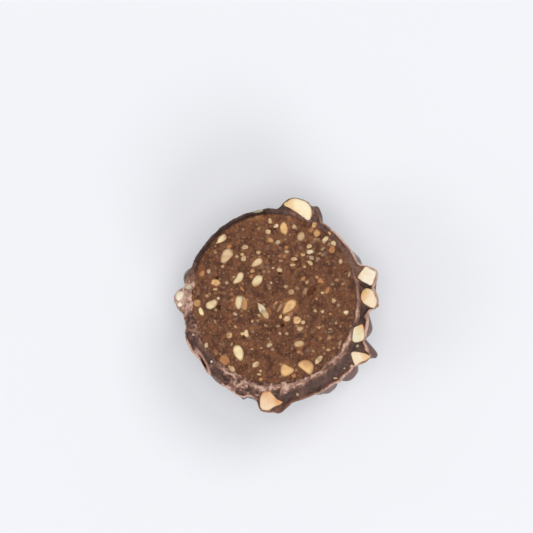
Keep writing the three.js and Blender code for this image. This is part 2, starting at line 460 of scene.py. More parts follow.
@dataclass(frozen=True)
class PasteFinish:
    """Moist cut paste of ground nuts. The third value of a span is how far it goes at most."""

    dark: Colour = srgb(82, 46, 28)
    middle: Colour = srgb(113, 69, 44)
    warm: Colour = srgb(140, 93, 60)
    amber: Colour = srgb(164, 108, 64)
    pale: Colour = srgb(184, 150, 110)
    # The grey specks are painted glints: tiny highlights of the moist paste, painted into its colour.
    glint_grey: Colour = srgb(148, 124, 104)
    specks: tuple[Specks, ...] = (
        Specks(amber, spacing=1.5, radius=0.75, share=0.35, strength=0.55),
        Specks(glint_grey, spacing=1.3, radius=0.7, share=0.35, strength=0.45),
        Specks(pale, spacing=1.1, radius=0.5, share=0.4, strength=0.6),
        Specks(pale, spacing=0.7, radius=0.26, share=0.4, strength=0.3),
    )
    softness: float = 0.08
    soft_depth: float = 0.8
    shine: float = 0.22
    blotch_size: float = 1.7
    blotch_detail: float = 4.0
    blotch_span: Point = (0.36, 0.62)
    grain_size: float = 0.5
    warm_span: Triple = (0.45, 0.75, 0.8)
    dark_span: Triple = (0.45, 0.28, 0.6)
    glow_size: float = 0.9
    glow_stray: float = 0.5
    glow_span: Triple = (0.3, 0.95, 0.85)
    roughness: Point = (0.4, 0.7)
    relief_size: float = 0.3
    relief_depth: float = 0.07

    def material(self) -> Material:
        """Builds the material.

        Returns:
            The material.
        """
        shader = Shader(
            "moist_paste", Subsurface_Weight=self.softness, Subsurface_Scale=self.soft_depth * MM,
            Specular_IOR_Level=self.shine,
        )
        blotches = shader.noise(self.blotch_size, self.blotch_detail)
        grain = shader.noise(self.grain_size)
        colour = shader.mix(shader.span(blotches, *self.blotch_span), self.dark, self.middle)
        colour = shader.mix(shader.span(grain, *self.warm_span), colour, self.warm)
        colour = shader.mix(shader.span(grain, *self.dark_span), colour, self.dark)
        stray = shader.scale(shader.noise(self.glow_size), -self.glow_stray, self.glow_stray)
        glow = shader.math("ADD", shader.attribute("amber"), stray)
        colour = shader.mix(shader.span(glow, *self.glow_span), colour, self.amber)
        for kind in self.specks:
            colour = shader.mix(shader.specks(kind), colour, kind.colour)
        shader.join(colour, "Base Color")
        shader.join(shader.scale(grain, *self.roughness), "Roughness")
        shader.bump(shader.noise(self.relief_size), self.relief_depth)
        return shader.material


@dataclass(frozen=True)
class ChocolateFinish:
    """Dark chocolate: satin where it set, dull where the knife went, pale where it crumbled, with a painted
    sheen on the outside below the cut edge.
    """

    dark: Colour = srgb(48, 31, 25)
    light: Colour = srgb(70, 48, 39)
    red: Colour = srgb(100, 62, 48)
    cut: Colour = srgb(58, 39, 35)
    smeared: Colour = srgb(84, 59, 52)
    bruise: Colour = srgb(114, 79, 66)
    dust: Colour = srgb(164, 126, 108)
    crumb: Colour = srgb(216, 180, 164)
    painted_sheen: Colour = srgb(142, 116, 114)
    gleam: Colour = srgb(255, 236, 226)
    shine: float = 0.46
    cloud_size: float = 3.5
    cloud_span: Point = (0.35, 0.7)
    thin_span: Point = (0.3, 0.6)
    smear_size: float = 1.6
    smear_span: Point = (0.35, 0.7)
    mottle_size: float = 0.4
    mottle: float = 0.3
    mottle_shares: Point = (0.3, 1.0)
    bruise_span: Point = (0.05, 0.4)
    dust_span: Point = (0.32, 0.75)
    crumb_span: Point = (0.68, 1.1)
    broken_span: Point = (0.1, 0.6)
    satin: Point = (0.15, 0.29)
    cut_roughness: float = 0.5
    broken_roughness: float = 0.75
    cut_relief: Point = (0.1, 0.2)
    relief_size: float = 0.3
    relief_depth: float = 0.1
    fine_detail: float = 4.0

    def material(self) -> Material:
        """Builds the material.

        Returns:
            The material.
        """
        shader = Shader("dark_chocolate", Specular_IOR_Level=self.shine, Specular_Tint=self.gleam)
        clouds = shader.noise(self.cloud_size)
        on_cut = shader.attribute("cut")
        coat = shader.mix(shader.span(clouds, *self.cloud_span), self.dark, self.light)
        thin = shader.math("MULTIPLY", shader.attribute("tip"), shader.span(clouds, *self.thin_span))
        coat = shader.mix(thin, coat, self.red)
        # Painted sheen: below the cut edge the outside is painted a paler lilac, standing in for the satin's
        # reflection of the pale table and sky.
        coat = shader.mix(shader.attribute("painted_sheen"), coat, self.painted_sheen)
        smears = shader.noise(self.smear_size, self.fine_detail)
        cut = shader.mix(shader.span(smears, *self.smear_span), self.cut, self.smeared)
        colour = shader.mix(on_cut, coat, cut)
        stray = shader.scale(shader.noise(self.mottle_size), -self.mottle, self.mottle)
        mottle = shader.math("MULTIPLY", stray, shader.scale(on_cut, *self.mottle_shares))
        pale = shader.math("ADD", shader.attribute("pale"), mottle)
        steps = (
            (self.bruise, self.bruise_span), (self.dust, self.dust_span), (self.crumb, self.crumb_span),
        )
        for tone, span in steps:
            colour = shader.mix(shader.span(pale, *span), colour, tone)
        shader.join(colour, "Base Color")
        broken = shader.span(pale, *self.broken_span)
        satin = shader.scale(clouds, *self.satin)
        dull = shader.math("MAXIMUM", satin, shader.scale(on_cut, 0.0, self.cut_roughness))
        dullest = shader.math("MAXIMUM", dull, shader.scale(broken, 0.0, self.broken_roughness))
        shader.join(dullest, "Roughness")
        rough = shader.math("MAXIMUM", shader.scale(on_cut, *self.cut_relief), broken)
        grain = shader.noise(self.relief_size, self.fine_detail)
        shader.bump(shader.math("MULTIPLY", grain, rough), self.relief_depth)
        return shader.material


@dataclass(frozen=True)
class HazelnutFinish:
    """Roasted hazelnut, cut or broken; its colour is stored on the mesh."""

    softness: float = 0.25
    soft_depth: float = 0.8
    soft_colours: Triple = (1.0, 0.6, 0.3)
    grain_size: float = 0.5
    grain_detail: float = 4.0
    grain_light: Point = (0.86, 1.12)
    roughness: Point = (0.42, 0.62)
    relief_size: float = 0.3
    relief_depth: float = 0.06

    def material(self) -> Material:
        """Builds the material.

        Returns:
            The material.
        """
        shader = Shader(
            "roasted_hazelnut", Subsurface_Weight=self.softness, Subsurface_Scale=self.soft_depth * MM,
            Subsurface_Radius=self.soft_colours,
        )
        grain = shader.noise(self.grain_size, self.grain_detail)
        light = shader.scale(grain, *self.grain_light)
        shader.join(shader.shaded(shader.attribute("tint", "Color"), light), "Base Color")
        shader.join(shader.scale(grain, *self.roughness), "Roughness")
        shader.bump(shader.noise(self.relief_size), self.relief_depth)
        return shader.material


@dataclass(frozen=True)
class GritFinish:
    """Grains, crumbs and flecks, each with a colour of its own between two."""

    name: str
    first: Colour
    second: Colour
    roughness: float = 0.7
    softness: float = 0.0
    soft_depth: float = 0.4
    grain_size: float = 0.3
    grain_light: Point = (0.7, 1.2)

    def material(self) -> Material:
        """Builds the material.

        Returns:
            The material.
        """
        shader = Shader(
            self.name, Roughness=self.roughness, Subsurface_Weight=self.softness,
            Subsurface_Scale=self.soft_depth * MM,
        )
        colour = shader.mix(shader.attribute("share"), self.first, self.second)
        light = shader.scale(shader.noise(self.grain_size), *self.grain_light)
        shader.join(shader.shaded(colour, light), "Base Color")
        return shader.material


@dataclass(frozen=True)
class TableFinish:
    """Plain pale table top."""

    bright: Colour = srgb(243, 244, 249)
    shade: Colour = srgb(240, 241, 246)
    patch_size: float = 60.0
    patch_detail: float = 2.0
    roughness: float = 0.6

    def material(self) -> Material:
        """Builds the material.

        Returns:
            The material.
        """
        shader = Shader("pale_table", Roughness=self.roughness)
        patches = shader.noise(self.patch_size, self.patch_detail)
        shader.join(shader.mix(patches, self.bright, self.shade), "Base Color")
        return shader.material


@dataclass(frozen=True)
class BallForm:
    """The even shape of the paste ball, and of the chocolate that pooled on one side of it."""

    paste_radius: float = 17.0
    squash: float = 0.015
    thin: float = 1.1
    pool: float = 2.9
    pool_angle: float = -73.0
    pool_fall: float = 1.8

    def paste(self, ways: Array) -> Array:
        """Distance to the outside of the paste, which is a little longer along Y."""
        return self.paste_radius * (1 + self.squash * (ways[..., 1] ** 2 - ways[..., 0] ** 2))

    def coat(self, ways: Array) -> Array:
        """Distance to the outside of the chocolate without its lumps."""
        pooled = ((1 + ways @ directions(self.pool_angle, 0.0)) / 2) ** self.pool_fall
        return self.paste(ways) + self.thin + self.pool * pooled


@dataclass(frozen=True)
class NutPiece:
    """A cut hazelnut piece: its outline on the cut face before rounding, its depth and its colours.

    Attributes:
        node: CAD node that it stands for, if there is one.
        cover: Thickness of the chocolate over its outer side.
        blush: Direction of the side that took more heat, longer where the change is stronger.
        dome: How far the middle of its face stands out.
        rounding: Share of each side that goes into its corners.
    """

    SMOOTHINGS = 3
    SHARE_POINTS = 96

    corners: tuple[Point, ...]
    node: str = ""
    depth: float = 2.8
    cover: float = 0.4
    core: Tone = Tone.CREAM
    roast: Tone = Tone.TAN
    blush: Point = (0.0, 0.0)
    dome: float = 0.1
    rounding: float = 0.22

    def outline(self, count: int) -> Array:
        """Rounds the corners into a closed smooth outline.

        Args:
            count: Number of points wanted.

        Returns:
            Points, anticlockwise, evenly spaced along the outline.
        """
        points = np.array(self.corners)
        for _ in range(self.SMOOTHINGS):
            after = np.roll(points, -1, axis=0)
            step = self.rounding * (after - points)
            points = np.stack((points + step, after - step), 1).reshape(-1, 2)
        x, y = points.T
        area = np.sum(x * np.roll(y, -1) - y * np.roll(x, -1))
        points = points if area > 0 else points[::-1]
        closed = np.vstack((points, points[:1]))
        run = np.concatenate(([0], np.cumsum(np.linalg.norm(np.diff(closed, axis=0), axis=1))))
        steps = np.linspace(0, run[-1], count, endpoint=False)
        return np.stack([np.interp(steps, run, closed[:, axis]) for axis in (0, 1)], axis=1)

    def share(self, points: Array) -> Array:
        """How far out points of the cut face lie.

        Args:
            points: Places on the cut face.

        Returns:
            0 in the middle of the piece, 1 on its outline.
        """
        ring = self.outline(self.SHARE_POINTS)
        middle = ring.mean(axis=0)
        out = ring - middle
        turns = np.arctan2(out[:, 1], out[:, 0])
        order = np.argsort(turns)
        x, y = points[..., 0] - middle[0], points[..., 1] - middle[1]
        radii = np.hypot(out[order, 0], out[order, 1])
        edge = np.interp(np.arctan2(y, x), turns[order], radii, period=2 * math.pi)
        return np.hypot(x, y) / edge


RIM_NUTS = (
    NutPiece(
        ((1.8, 19.1), (2.9, 20.0), (4.0, 20.5), (5.1, 20.3), (6.6, 19.8), (7.5, 18.9), (7.9, 17.4),
         (7.6, 16.2), (7.0, 15.7), (5.9, 16.6), (4.6, 17.6), (3.4, 18.4)),
        node="hazelnut_top", cover=0.2, core=Tone.MILK, blush=(-0.5, -0.1), dome=0.12,
    ),
    NutPiece(
        ((18.6, 6.4), (20.95, 5.3), (20.5, 3.9), (19.8, 2.4), (17.8, 3.5), (16.9, 4.1), (17.6, 5.2)),
        node="hazelnut_right_high", core=Tone.WHITE, roast=Tone.PEACH, blush=(-0.4, -0.2), dome=0.06,
        rounding=0.1,
    ),
    NutPiece(
        ((18.8, 2.1), (20.0, 1.7), (20.7, 0.2), (20.9, -1.2), (20.2, -2.2), (18.5, -1.4), (17.5, -0.1),
         (17.8, 1.3)),
        node="hazelnut_right_middle", cover=0.45, core=Tone.IVORY, blush=(-0.4, 0.5), dome=0.4,
    ),
    NutPiece(
        ((18.0, -5.1), (18.3, -6.5), (18.4, -8.2), (17.7, -8.7), (16.4, -9.0), (15.8, -8.6), (16.0, -7.1),
         (16.2, -5.9), (17.1, -5.6)),
        node="hazelnut_right_low", core=Tone.BONE, blush=(0.6, 0.2), rounding=0.2,
    ),
    NutPiece(
        ((15.6, -11.0), (16.2, -10.7), (17.4, -10.9), (18.4, -11.1), (19.6, -11.7), (18.7, -12.5),
         (17.6, -12.9), (16.5, -13.6), (15.9, -12.5)),
        node="hazelnut_lower_right", cover=0.3, core=Tone.IVORY, blush=(0.45, 0.1), rounding=0.14,
    ),
    NutPiece(
        ((-2.7, -19.7), (-2.1, -18.8), (-0.8, -18.6), (-0.1, -19.4), (0.6, -20.3), (2.0, -20.8),
         (1.1, -21.5), (-0.1, -21.9), (-1.0, -22.6), (-2.3, -22.4), (-2.8, -21.8)),
        node="hazelnut_bottom", cover=0.5, core=Tone.PEACH, roast=Tone.ROAST, blush=(0.5, 0.75),
        dome=0.2, rounding=0.14,
    ),
    NutPiece(
        ((-19.9, 1.0), (-19.3, 1.7), (-18.4, 1.5), (-18.3, 0.8), (-18.7, 0.0), (-19.4, -0.5), (-20.0, 0.1)),
        node="hazelnut_left", cover=0.2, core=Tone.BONE, roast=Tone.WHITE, blush=(-0.4, -0.4), dome=0.3,
    ),
)

CUT_CRUMBS = (
    NutPiece(
        ((-18.3, 2.3), (-17.7, 3.0), (-16.8, 3.0), (-16.5, 2.2), (-17.3, 1.8)),
        depth=0.9, core=Tone.ASH, roast=Tone.SAGE, blush=(0.5, 0.0), dome=0.3,
    ),
    NutPiece(
        ((-19.7, -1.1), (-19.2, -0.6), (-18.5, -0.8), (-18.7, -1.5), (-19.4, -1.6)),
        depth=0.7, core=Tone.WHITE, roast=Tone.ASH,
    ),
    # The sliver at the top left is grey sage all over: a nut colour darkened and greyed as painted shade.
    NutPiece(
        ((-4.5, 17.5), (-3.0, 18.2), (-1.9, 18.0), (-3.0, 17.5)),
        depth=0.6, core=Tone.SAGE, roast=Tone.SAGE,
    ),
    NutPiece(
        ((16.5, -9.7), (16.9, -9.2), (17.3, -9.6), (16.9, -10.0)),
        depth=0.5, core=Tone.SAGE, roast=Tone.GREY,
    ),
    NutPiece(
        ((14.0, -14.1), (14.3, -13.8), (14.6, -14.1), (14.3, -14.4)),
        depth=0.5, core=Tone.SAGE, roast=Tone.HAZE,
    ),
    NutPiece(
        ((11.9, -16.1), (12.5, -15.8), (13.0, -16.1), (12.4, -16.4)),
        depth=0.5, core=Tone.GREY, roast=Tone.HAZE,
    ),
    NutPiece(
        ((4.4, -19.3), (4.8, -18.9), (5.2, -19.3), (4.8, -19.8)),
        depth=0.5, core=Tone.GREY, roast=Tone.HAZE,
    ),
    NutPiece(
        ((-12.9, -12.7), (-12.6, -12.4), (-12.3, -12.7), (-12.6, -13.0)),
        depth=0.4, core=Tone.WHITE, roast=Tone.GREY,
    ),
)


@dataclass(frozen=True)
class HazelnutPieces:
    """Lofts hazelnut pieces from their outlines; a row is a ring's size, and on the wall its depth."""

    columns: int = 56
    face_rows: tuple[float, ...] = (0.985, 0.93, 0.85, 0.74, 0.6, 0.42, 0.22)
    wall_rows: tuple[Point, ...] = ((0.45, 1.0), (0.75, 0.9), (0.95, 0.66), (1.01, 0.35), (1.0, 0.02))
    face_height: float = 0.08
    wobble_size: float = 0.9
    wobble: Triple = (0.09, 0.09, 0.05)
    warm_size: float = 1.5
    warm_start: float = 0.15
    warm_side: float = 1.5
    warm_stray: float = 0.7
    skin_size: float = 1.2
    skin_start: float = 0.86
    skin_mean: float = 0.4
    skin_stray: float = 0.6
    skin_range: Point = (0.05, 0.8)
    seed_step: int = 10
    warm_seed: int = 5
    skin_seed: int = 6

    def surface(self, nut: NutPiece, seed: int) -> Surface:
        """Builds one piece.

        Args:
            nut: The piece's outline and colours.
            seed: Picks its unevenness.

        Returns:
            The closed surface with its tint.
        """
        ring = nut.outline(self.columns)
        middle = ring.mean(axis=0)
        rows = [self._ring(ring, middle, share, -down * nut.depth) for share, down in self.wall_rows]
        for share in self.face_rows:
            rise = self.face_height + nut.dome * (1 - share**2)
            rows.append(self._ring(ring, middle, share, rise))
        rings = np.stack(rows)
        rings = rings + swirl_vectors(rings, self.wobble_size, seed) * self.wobble
        top = np.array((*middle, self.face_height + nut.dome))
        bottom = np.array((*middle, -nut.depth))
        surface = Surface.loft(rings, bottom, top)
        surface.colours["tint"] = self._tint(surface.points, nut, seed)
        return surface

    @staticmethod
    def _ring(ring: Array, middle: Array, share: float, height: float) -> Array:
        """One ring of the loft, shrunk towards the middle."""
        flat = middle + (ring - middle) * share
        return np.column_stack((flat, np.full(len(flat), height)))

    def _tint(self, points: Array, nut: NutPiece, seed: int) -> Array:
        """Colours the face from its core to its roasted side, and its edge and wall like skin.

        Args:
            points: Points of the piece.
            nut: Its colours.
            seed: Picks its blotches.

        Returns:
            One colour for each point.
        """
        walls = np.ones(len(self.wall_rows))
        shares = np.repeat(np.concatenate((walls, self.face_rows)), self.columns)
        shares = np.concatenate((shares, (1.0, 0.0)))
        out = points[:, :2] - points[-1, :2]
        side = out @ np.array(nut.blush) / np.abs(out).max()
        stray = swirl(points, self.warm_size, seed + self.warm_seed)
        warm = np.clip(self.warm_side * side + self.warm_stray * stray + self.warm_start, 0, 1)
        stray = swirl(points, self.skin_size, seed + self.skin_seed)
        skin = ease(self.skin_start, 1.0, shares)
        skin = skin * np.clip(self.skin_mean + self.skin_stray * stray, *self.skin_range)
        skin[: (len(self.wall_rows) - 1) * self.columns] = self.skin_range[1]
        return blend(blend(nut.core.colour, nut.roast.colour, warm), Tone.SKIN.colour, skin)

    def build(self) -> None:
        """Makes a piece for each CAD hazelnut, and one of the crumbs in the cut chocolate."""
        material = HazelnutFinish().material()
        for number, nut in enumerate(RIM_NUTS):
            surface = self.surface(nut, Seed.RIM_NUTS + self.seed_step * number)
            seat(surface.to_object(f"{nut.node}_cut", material), Slot.HAZELNUT, nut.node)
        crumbs = [
            self.surface(nut, Seed.RIM_CRUMBS + self.seed_step * number)
            for number, nut in enumerate(CUT_CRUMBS)
        ]
        seat(Surface.joined(crumbs).to_object("rim_nut_crumbs", material), Slot.HAZELNUT)


@dataclass(frozen=True)
class Oval:
    """An oval place on the cut face: its middle, length, width and turn."""

    x: float
    y: float
    length: float
    width: float
    turn: float = 0.0

    def share(self, points: Array) -> Array:
        """How far out points of the cut face lie.

        Args:
            points: Places on the cut face.

        Returns:
            0 in the middle of the oval, 1 on its outline.
        """
        c, s = heading(self.turn)
        x, y = points[..., 0] - self.x, points[..., 1] - self.y
        return np.hypot((c * x + s * y) * 2 / self.length, (c * y - s * x) * 2 / self.width)


class BitShape(Enum):
    """Outlines of nut bits: how they taper along the turn, bend, and round off."""

    OVAL = (0.0, 0.0, 1.0)
    CHIP = (0.25, 0.1, 0.86)
    TEAR = (0.6, 0.1, 0.95)
    WEDGE = (0.42, 0.0, 0.92)
    BEAN = (0.05, 0.5, 0.95)
    COMMA = (-0.32, 0.4, 0.92)


@dataclass(frozen=True)
class Bit(Oval):
    """A chopped nut bit in the cut paste, with its colour and outline."""

    tone: Tone = Tone.CREAM
    shape: BitShape = BitShape.OVAL


NUT_BITS = (
    Bit(-9.65, 8.7, 3.3, 2.0, 235, Tone.SAND, BitShape.CHIP),
    Bit(-10.7, 12.1, 2.7, 1.2, 217, Tone.CREAM, BitShape.TEAR),
    Bit(-3.4, 7.3, 2.6, 1.3, 212, Tone.SAND, BitShape.WEDGE),
    Bit(-7.15, 4.1, 2.8, 1.4, 50, Tone.CREAM, BitShape.COMMA),
    Bit(-3.3, 3.6, 2.9, 1.75, 55),
    Bit(-12.6, -1.1, 2.6, 1.6, 28, Tone.CREAM, BitShape.CHIP),
    Bit(-14.75, -2.55, 1.8, 0.95, -65),
    Bit(10.5, 11.9, 1.7, 1.0, 47),
    Bit(7.4, 9.4, 1.5, 0.9, 15, Tone.MILK),
    Bit(4.2, 8.0, 1.4, 0.8, -8, Tone.DULL),
    Bit(1.2, 5.8, 1.3, 0.9, -20, Tone.SAND),
    Bit(-7.1, -10.9, 3.3, 2.0, -70),
    Bit(-3.6, -13.3, 1.7, 1.1, 25),
    Bit(-5.5, -7.1, 1.6, 1.0, -75, Tone.CREAM, BitShape.CHIP),
    Bit(5.4, -6.1, 1.3, 1.0, 0, Tone.SAND, BitShape.CHIP),
    Bit(3.9, 6.8, 1.2, 0.6, 0, Tone.DULL),
    Bit(7.4, 7.2, 1.4, 0.8, -33, Tone.DULL),
    Bit(6.0, 8.9, 0.9, 0.8, 0, Tone.TAN),
    Bit(14.7, -2.9, 1.1, 0.9),
    Bit(-1.1, 13.6, 1.2, 1.0, 0, Tone.SAND),
    Bit(0.5, 14.8, 1.2, 0.8, 20),
    Bit(-0.7, 15.8, 0.8, 1.3, 0, Tone.DULL),
    Bit(-5.8, 10.5, 1.4, 1.0, 10, Tone.DULL),
    Bit(-3.1, 9.4, 1.0, 0.8, 0, Tone.DULL),
    Bit(-13.7, -9.4, 0.8, 1.2, 0, Tone.SAND),
    Bit(-13.2, 5.6, 0.8, 1.0, 0, Tone.ASH),
    Bit(-2.9, -15.3, 1.0, 0.6, 0, Tone.DULL),
    Bit(-2.6, -16.3, 0.8, 0.7, 0, Tone.ORANGE),
    Bit(9.2, -5.9, 0.8, 0.7, 0, Tone.DULL),
    Bit(11.1, -10.4, 0.9, 0.7, 0, Tone.DULL),
    Bit(12.6, -5.0, 0.8, 0.6, 40, Tone.HAZE),
    Bit(6.0, -4.85, 0.9, 0.8, 0, Tone.SAND),
    Bit(-6.4, 9.0, 0.8, 0.7, 0, Tone.SAND),
    Bit(3.1, -1.7, 3.7, 1.8, 228, Tone.TAN, BitShape.WEDGE),
    Bit(4.8, -4.4, 1.7, 1.6, 0, Tone.TAN, BitShape.CHIP),
    Bit(2.75, -14.5, 2.8, 2.3, -4, Tone.TAN, BitShape.WEDGE),
    Bit(6.6, -13.8, 3.5, 2.3, 140, Tone.TAN, BitShape.BEAN),
    Bit(2.1, 14.3, 2.6, 1.6, -80, Tone.TAN),
    Bit(2.7, -4.1, 1.6, 1.2, 20, Tone.SAND),
    Bit(4.1, -15.6, 1.0, 0.9, 0, Tone.AMBER),
    Bit(-9.0, -7.4, 1.3, 1.2, 0, Tone.TAN, BitShape.CHIP),
    Bit(-6.05, -1.0, 2.9, 1.5, -82, Tone.ORANGE),
    Bit(-11.8, 3.3, 1.9, 1.4, -10, Tone.TAN),
    Bit(-7.0, -0.7, 2.9, 1.6, 86),
    Bit(12.2, 11.1, 1.4, 0.9, -50),
    Bit(8.8, 13.2, 1.3, 1.6, 0, Tone.ORANGE),
    Bit(-0.6, 11.9, 1.3, 0.9, -35, Tone.ORANGE),
    Bit(-4.3, 5.6, 1.0, 0.8, 0, Tone.ORANGE),
    Bit(-4.5, 4.5, 0.9, 0.7, 0, Tone.AMBER),
    Bit(5.1, -10.8, 1.0, 0.8, 0, Tone.AMBER),
    Bit(9.5, -8.1, 0.8, 0.7, 0, Tone.AMBER),
    Bit(-9.9, -12.4, 2.3, 1.8, -42, Tone.AMBER, BitShape.CHIP),
    Bit(-15.6, -0.85, 1.7, 1.5, 0, Tone.ORANGE),
    Bit(5.6, 12.6, 1.9, 1.6, 70, Tone.DULL),
    Bit(5.2, -9.2, 2.2, 1.35, 5, Tone.DULL),
    Bit(9.1, -12.4, 2.0, 1.2, 50, Tone.SAND),
    Bit(7.3, 10.6, 1.2, 0.9, 20, Tone.SAND),
    Bit(7.7, 8.2, 1.2, 0.9, -40, Tone.GREY),
    Bit(0.8, 11.4, 1.4, 0.9, 35, Tone.GREY),
    Bit(4.2, 14.6, 1.0, 0.9, 0, Tone.DULL),
    Bit(-6.1, 8.2, 1.3, 1.1, 60, Tone.DULL),
    Bit(3.6, 1.3, 1.3, 1.2, 0, Tone.GREY),
    Bit(8.4, -2.5, 0.8, 0.7, 0, Tone.DULL),
    Bit(9.9, -2.7, 0.8, 0.7, 0, Tone.GREY),
    Bit(12.2, -0.5, 0.9, 1.0, 0, Tone.DULL),
    Bit(-2.5, -1.9, 2.9, 1.15, 122, Tone.BONE, BitShape.WEDGE),
    Bit(-1.7, -3.1, 2.4, 1.25, -60, Tone.DULL),
    Bit(-8.5, -14.2, 1.8, 1.1, -50, Tone.DULL),
    Bit(2.5, 2.4, 0.8, 0.8, 0, Tone.GREY),
    Bit(2.7, 9.5, 0.9, 0.7, 0, Tone.GREY),
    Bit(11.2, -8.1, 1.1, 0.7, 40, Tone.GREY),
    Bit(13.6, 7.4, 0.8, 1.1, 0, Tone.GREY),
    Bit(1.3, -7.1, 0.7, 0.6, 0, Tone.GREY),
    Bit(2.7, -7.1, 0.7, 0.6, 0, Tone.GREY),
    Bit(-7.8, -3.1, 1.1, 0.7, -20, Tone.GREY),
    Bit(-11.2, 0.1, 0.7, 0.6, 0, Tone.WHITE),
    Bit(8.3, 14.9, 1.3, 1.0, 60, Tone.TAN),
    Bit(11.4, 13.2, 0.8, 0.6, -40, Tone.ORANGE),
    Bit(11.9, 10.0, 1.8, 1.2, 70, Tone.AMBER, BitShape.CHIP),
    Bit(8.5, 12.0, 0.8, 0.6, 0, Tone.HAZE),
    Bit(10.0, 10.0, 1.1, 0.6, 35, Tone.HAZE),
    Bit(9.0, 8.0, 0.9, 0.8, 0, Tone.HAZE),
    Bit(9.4, 9.1, 0.7, 0.5, 20, Tone.HAZE),
    Bit(6.3, 6.4, 0.7, 0.6, 0, Tone.DULL),
    Bit(2.6, 10.4, 0.8, 0.6, 0, Tone.AMBER),
    Bit(2.3, 8.6, 1.0, 0.7, 30, Tone.AMBER),
    Bit(1.5, 7.7, 0.9, 0.7, 0, Tone.HAZE),
    Bit(-0.1, 6.2, 0.6, 0.5, 0, Tone.DULL),
    Bit(-0.5, 3.2, 0.6, 0.5, 0, Tone.ASH),
    Bit(6.0, 4.0, 1.2, 0.8, 30, Tone.AMBER),
    Bit(6.8, 3.3, 0.8, 0.6, 50, Tone.DULL),
    Bit(8.8, 4.3, 0.8, 0.6, -30, Tone.DULL),
    Bit(9.6, 3.5, 1.4, 1.0, -30, Tone.AMBER, BitShape.CHIP),
    Bit(10.9, 1.6, 1.6, 0.8, 60, Tone.AMBER, BitShape.CHIP),
    Bit(9.9, 1.1, 0.8, 0.6, 20, Tone.DULL),
    Bit(6.4, 1.5, 1.6, 0.8, 70, Tone.HAZE, BitShape.CHIP),
    Bit(12.8, 3.7, 0.9, 0.8, 0, Tone.HAZE),
    Bit(11.9, 2.8, 0.9, 0.6, 30, Tone.HAZE),
    Bit(-11.9, 1.95, 1.0, 0.5, 0, Tone.DULL),
    Bit(-13.6, 0.6, 0.8, 0.7, 0, Tone.DULL),
    Bit(-14.6, 5.2, 1.4, 1.0, 60, Tone.AMBER, BitShape.CHIP),
    Bit(-11.9, -4.6, 1.0, 0.5, -60, Tone.HAZE),
    Bit(-2.6, -14.6, 0.7, 0.6, 0, Tone.DULL),
    Bit(-0.8, -9.4, 1.2, 0.9, 20, Tone.GREY, BitShape.CHIP),
    Bit(-0.2, -10.3, 0.9, 0.7, 0, Tone.HAZE),
    Bit(8.0, -10.6, 0.8, 0.6, 0, Tone.HAZE),
    Bit(1.3, -1.8, 2.3, 0.6, 62, Tone.HAZE),
    Bit(1.45, -3.65, 1.0, 0.6, 70, Tone.TAN),
    Bit(3.4, -3.1, 1.3, 0.9, 20, Tone.AMBER),
    Bit(0.5, -0.9, 1.0, 0.6, 55, Tone.ORANGE),
    Bit(4.85, 2.05, 0.9, 0.8, 0, Tone.HAZE),
    Bit(-6.4, 2.0, 1.3, 0.5, -50, Tone.AMBER),
    Bit(-9.5, 3.2, 0.9, 0.8, 0, Tone.GREY),
    Bit(-8.1, 4.4, 0.7, 0.5, 30, Tone.DULL),
    Bit(-7.7, -5.7, 0.8, 0.6, -30, Tone.ORANGE),
    Bit(-6.3, -7.1, 0.9, 0.7, 0, Tone.TAN),
    Bit(-1.6, -5.45, 0.9, 0.6, -30, Tone.HAZE),
    Bit(-4.3, -4.6, 0.7, 0.5, 70, Tone.ASH),
    Bit(0.9, -5.6, 0.9, 0.6, 0, Tone.HAZE),
    Bit(-2.9, -3.4, 0.8, 0.6, -40, Tone.DULL),
    Bit(-9.1, 10.7, 1.1, 0.7, 20, Tone.AMBER),
    Bit(-7.5, 8.6, 0.8, 0.6, 0, Tone.GREY),
    Bit(-10.4, 6.6, 0.8, 0.6, 20, Tone.DULL),
    Bit(-11.9, 9.5, 0.8, 0.6, -30, Tone.HAZE),
    Bit(7.7, 13.9, 1.2, 0.9, 60, Tone.AMBER),
    Bit(15.3, 4.8, 1.2, 0.6, 80, Tone.HAZE),
    Bit(14.0, 2.9, 0.8, 0.6, 0, Tone.HAZE),
    Bit(-8.5, -9.2, 0.9, 0.5, 70, Tone.HAZE),
    Bit(-4.4, -10.2, 0.7, 0.5, 0, Tone.ORANGE),
    Bit(-2.5, -10.0, 0.6, 0.5, 0, Tone.HAZE),
    Bit(8.7, -0.1, 0.7, 0.6, 0, Tone.AMBER),
    Bit(13.1, -1.4, 0.8, 0.6, 20, Tone.HAZE),
    Bit(11.5, -3.2, 0.7, 0.6, 0, Tone.AMBER),
    Bit(11.4, -6.2, 0.8, 0.5, 10, Tone.HAZE),
    Bit(13.4, -9.0, 1.3, 0.6, 60, Tone.HAZE),
)


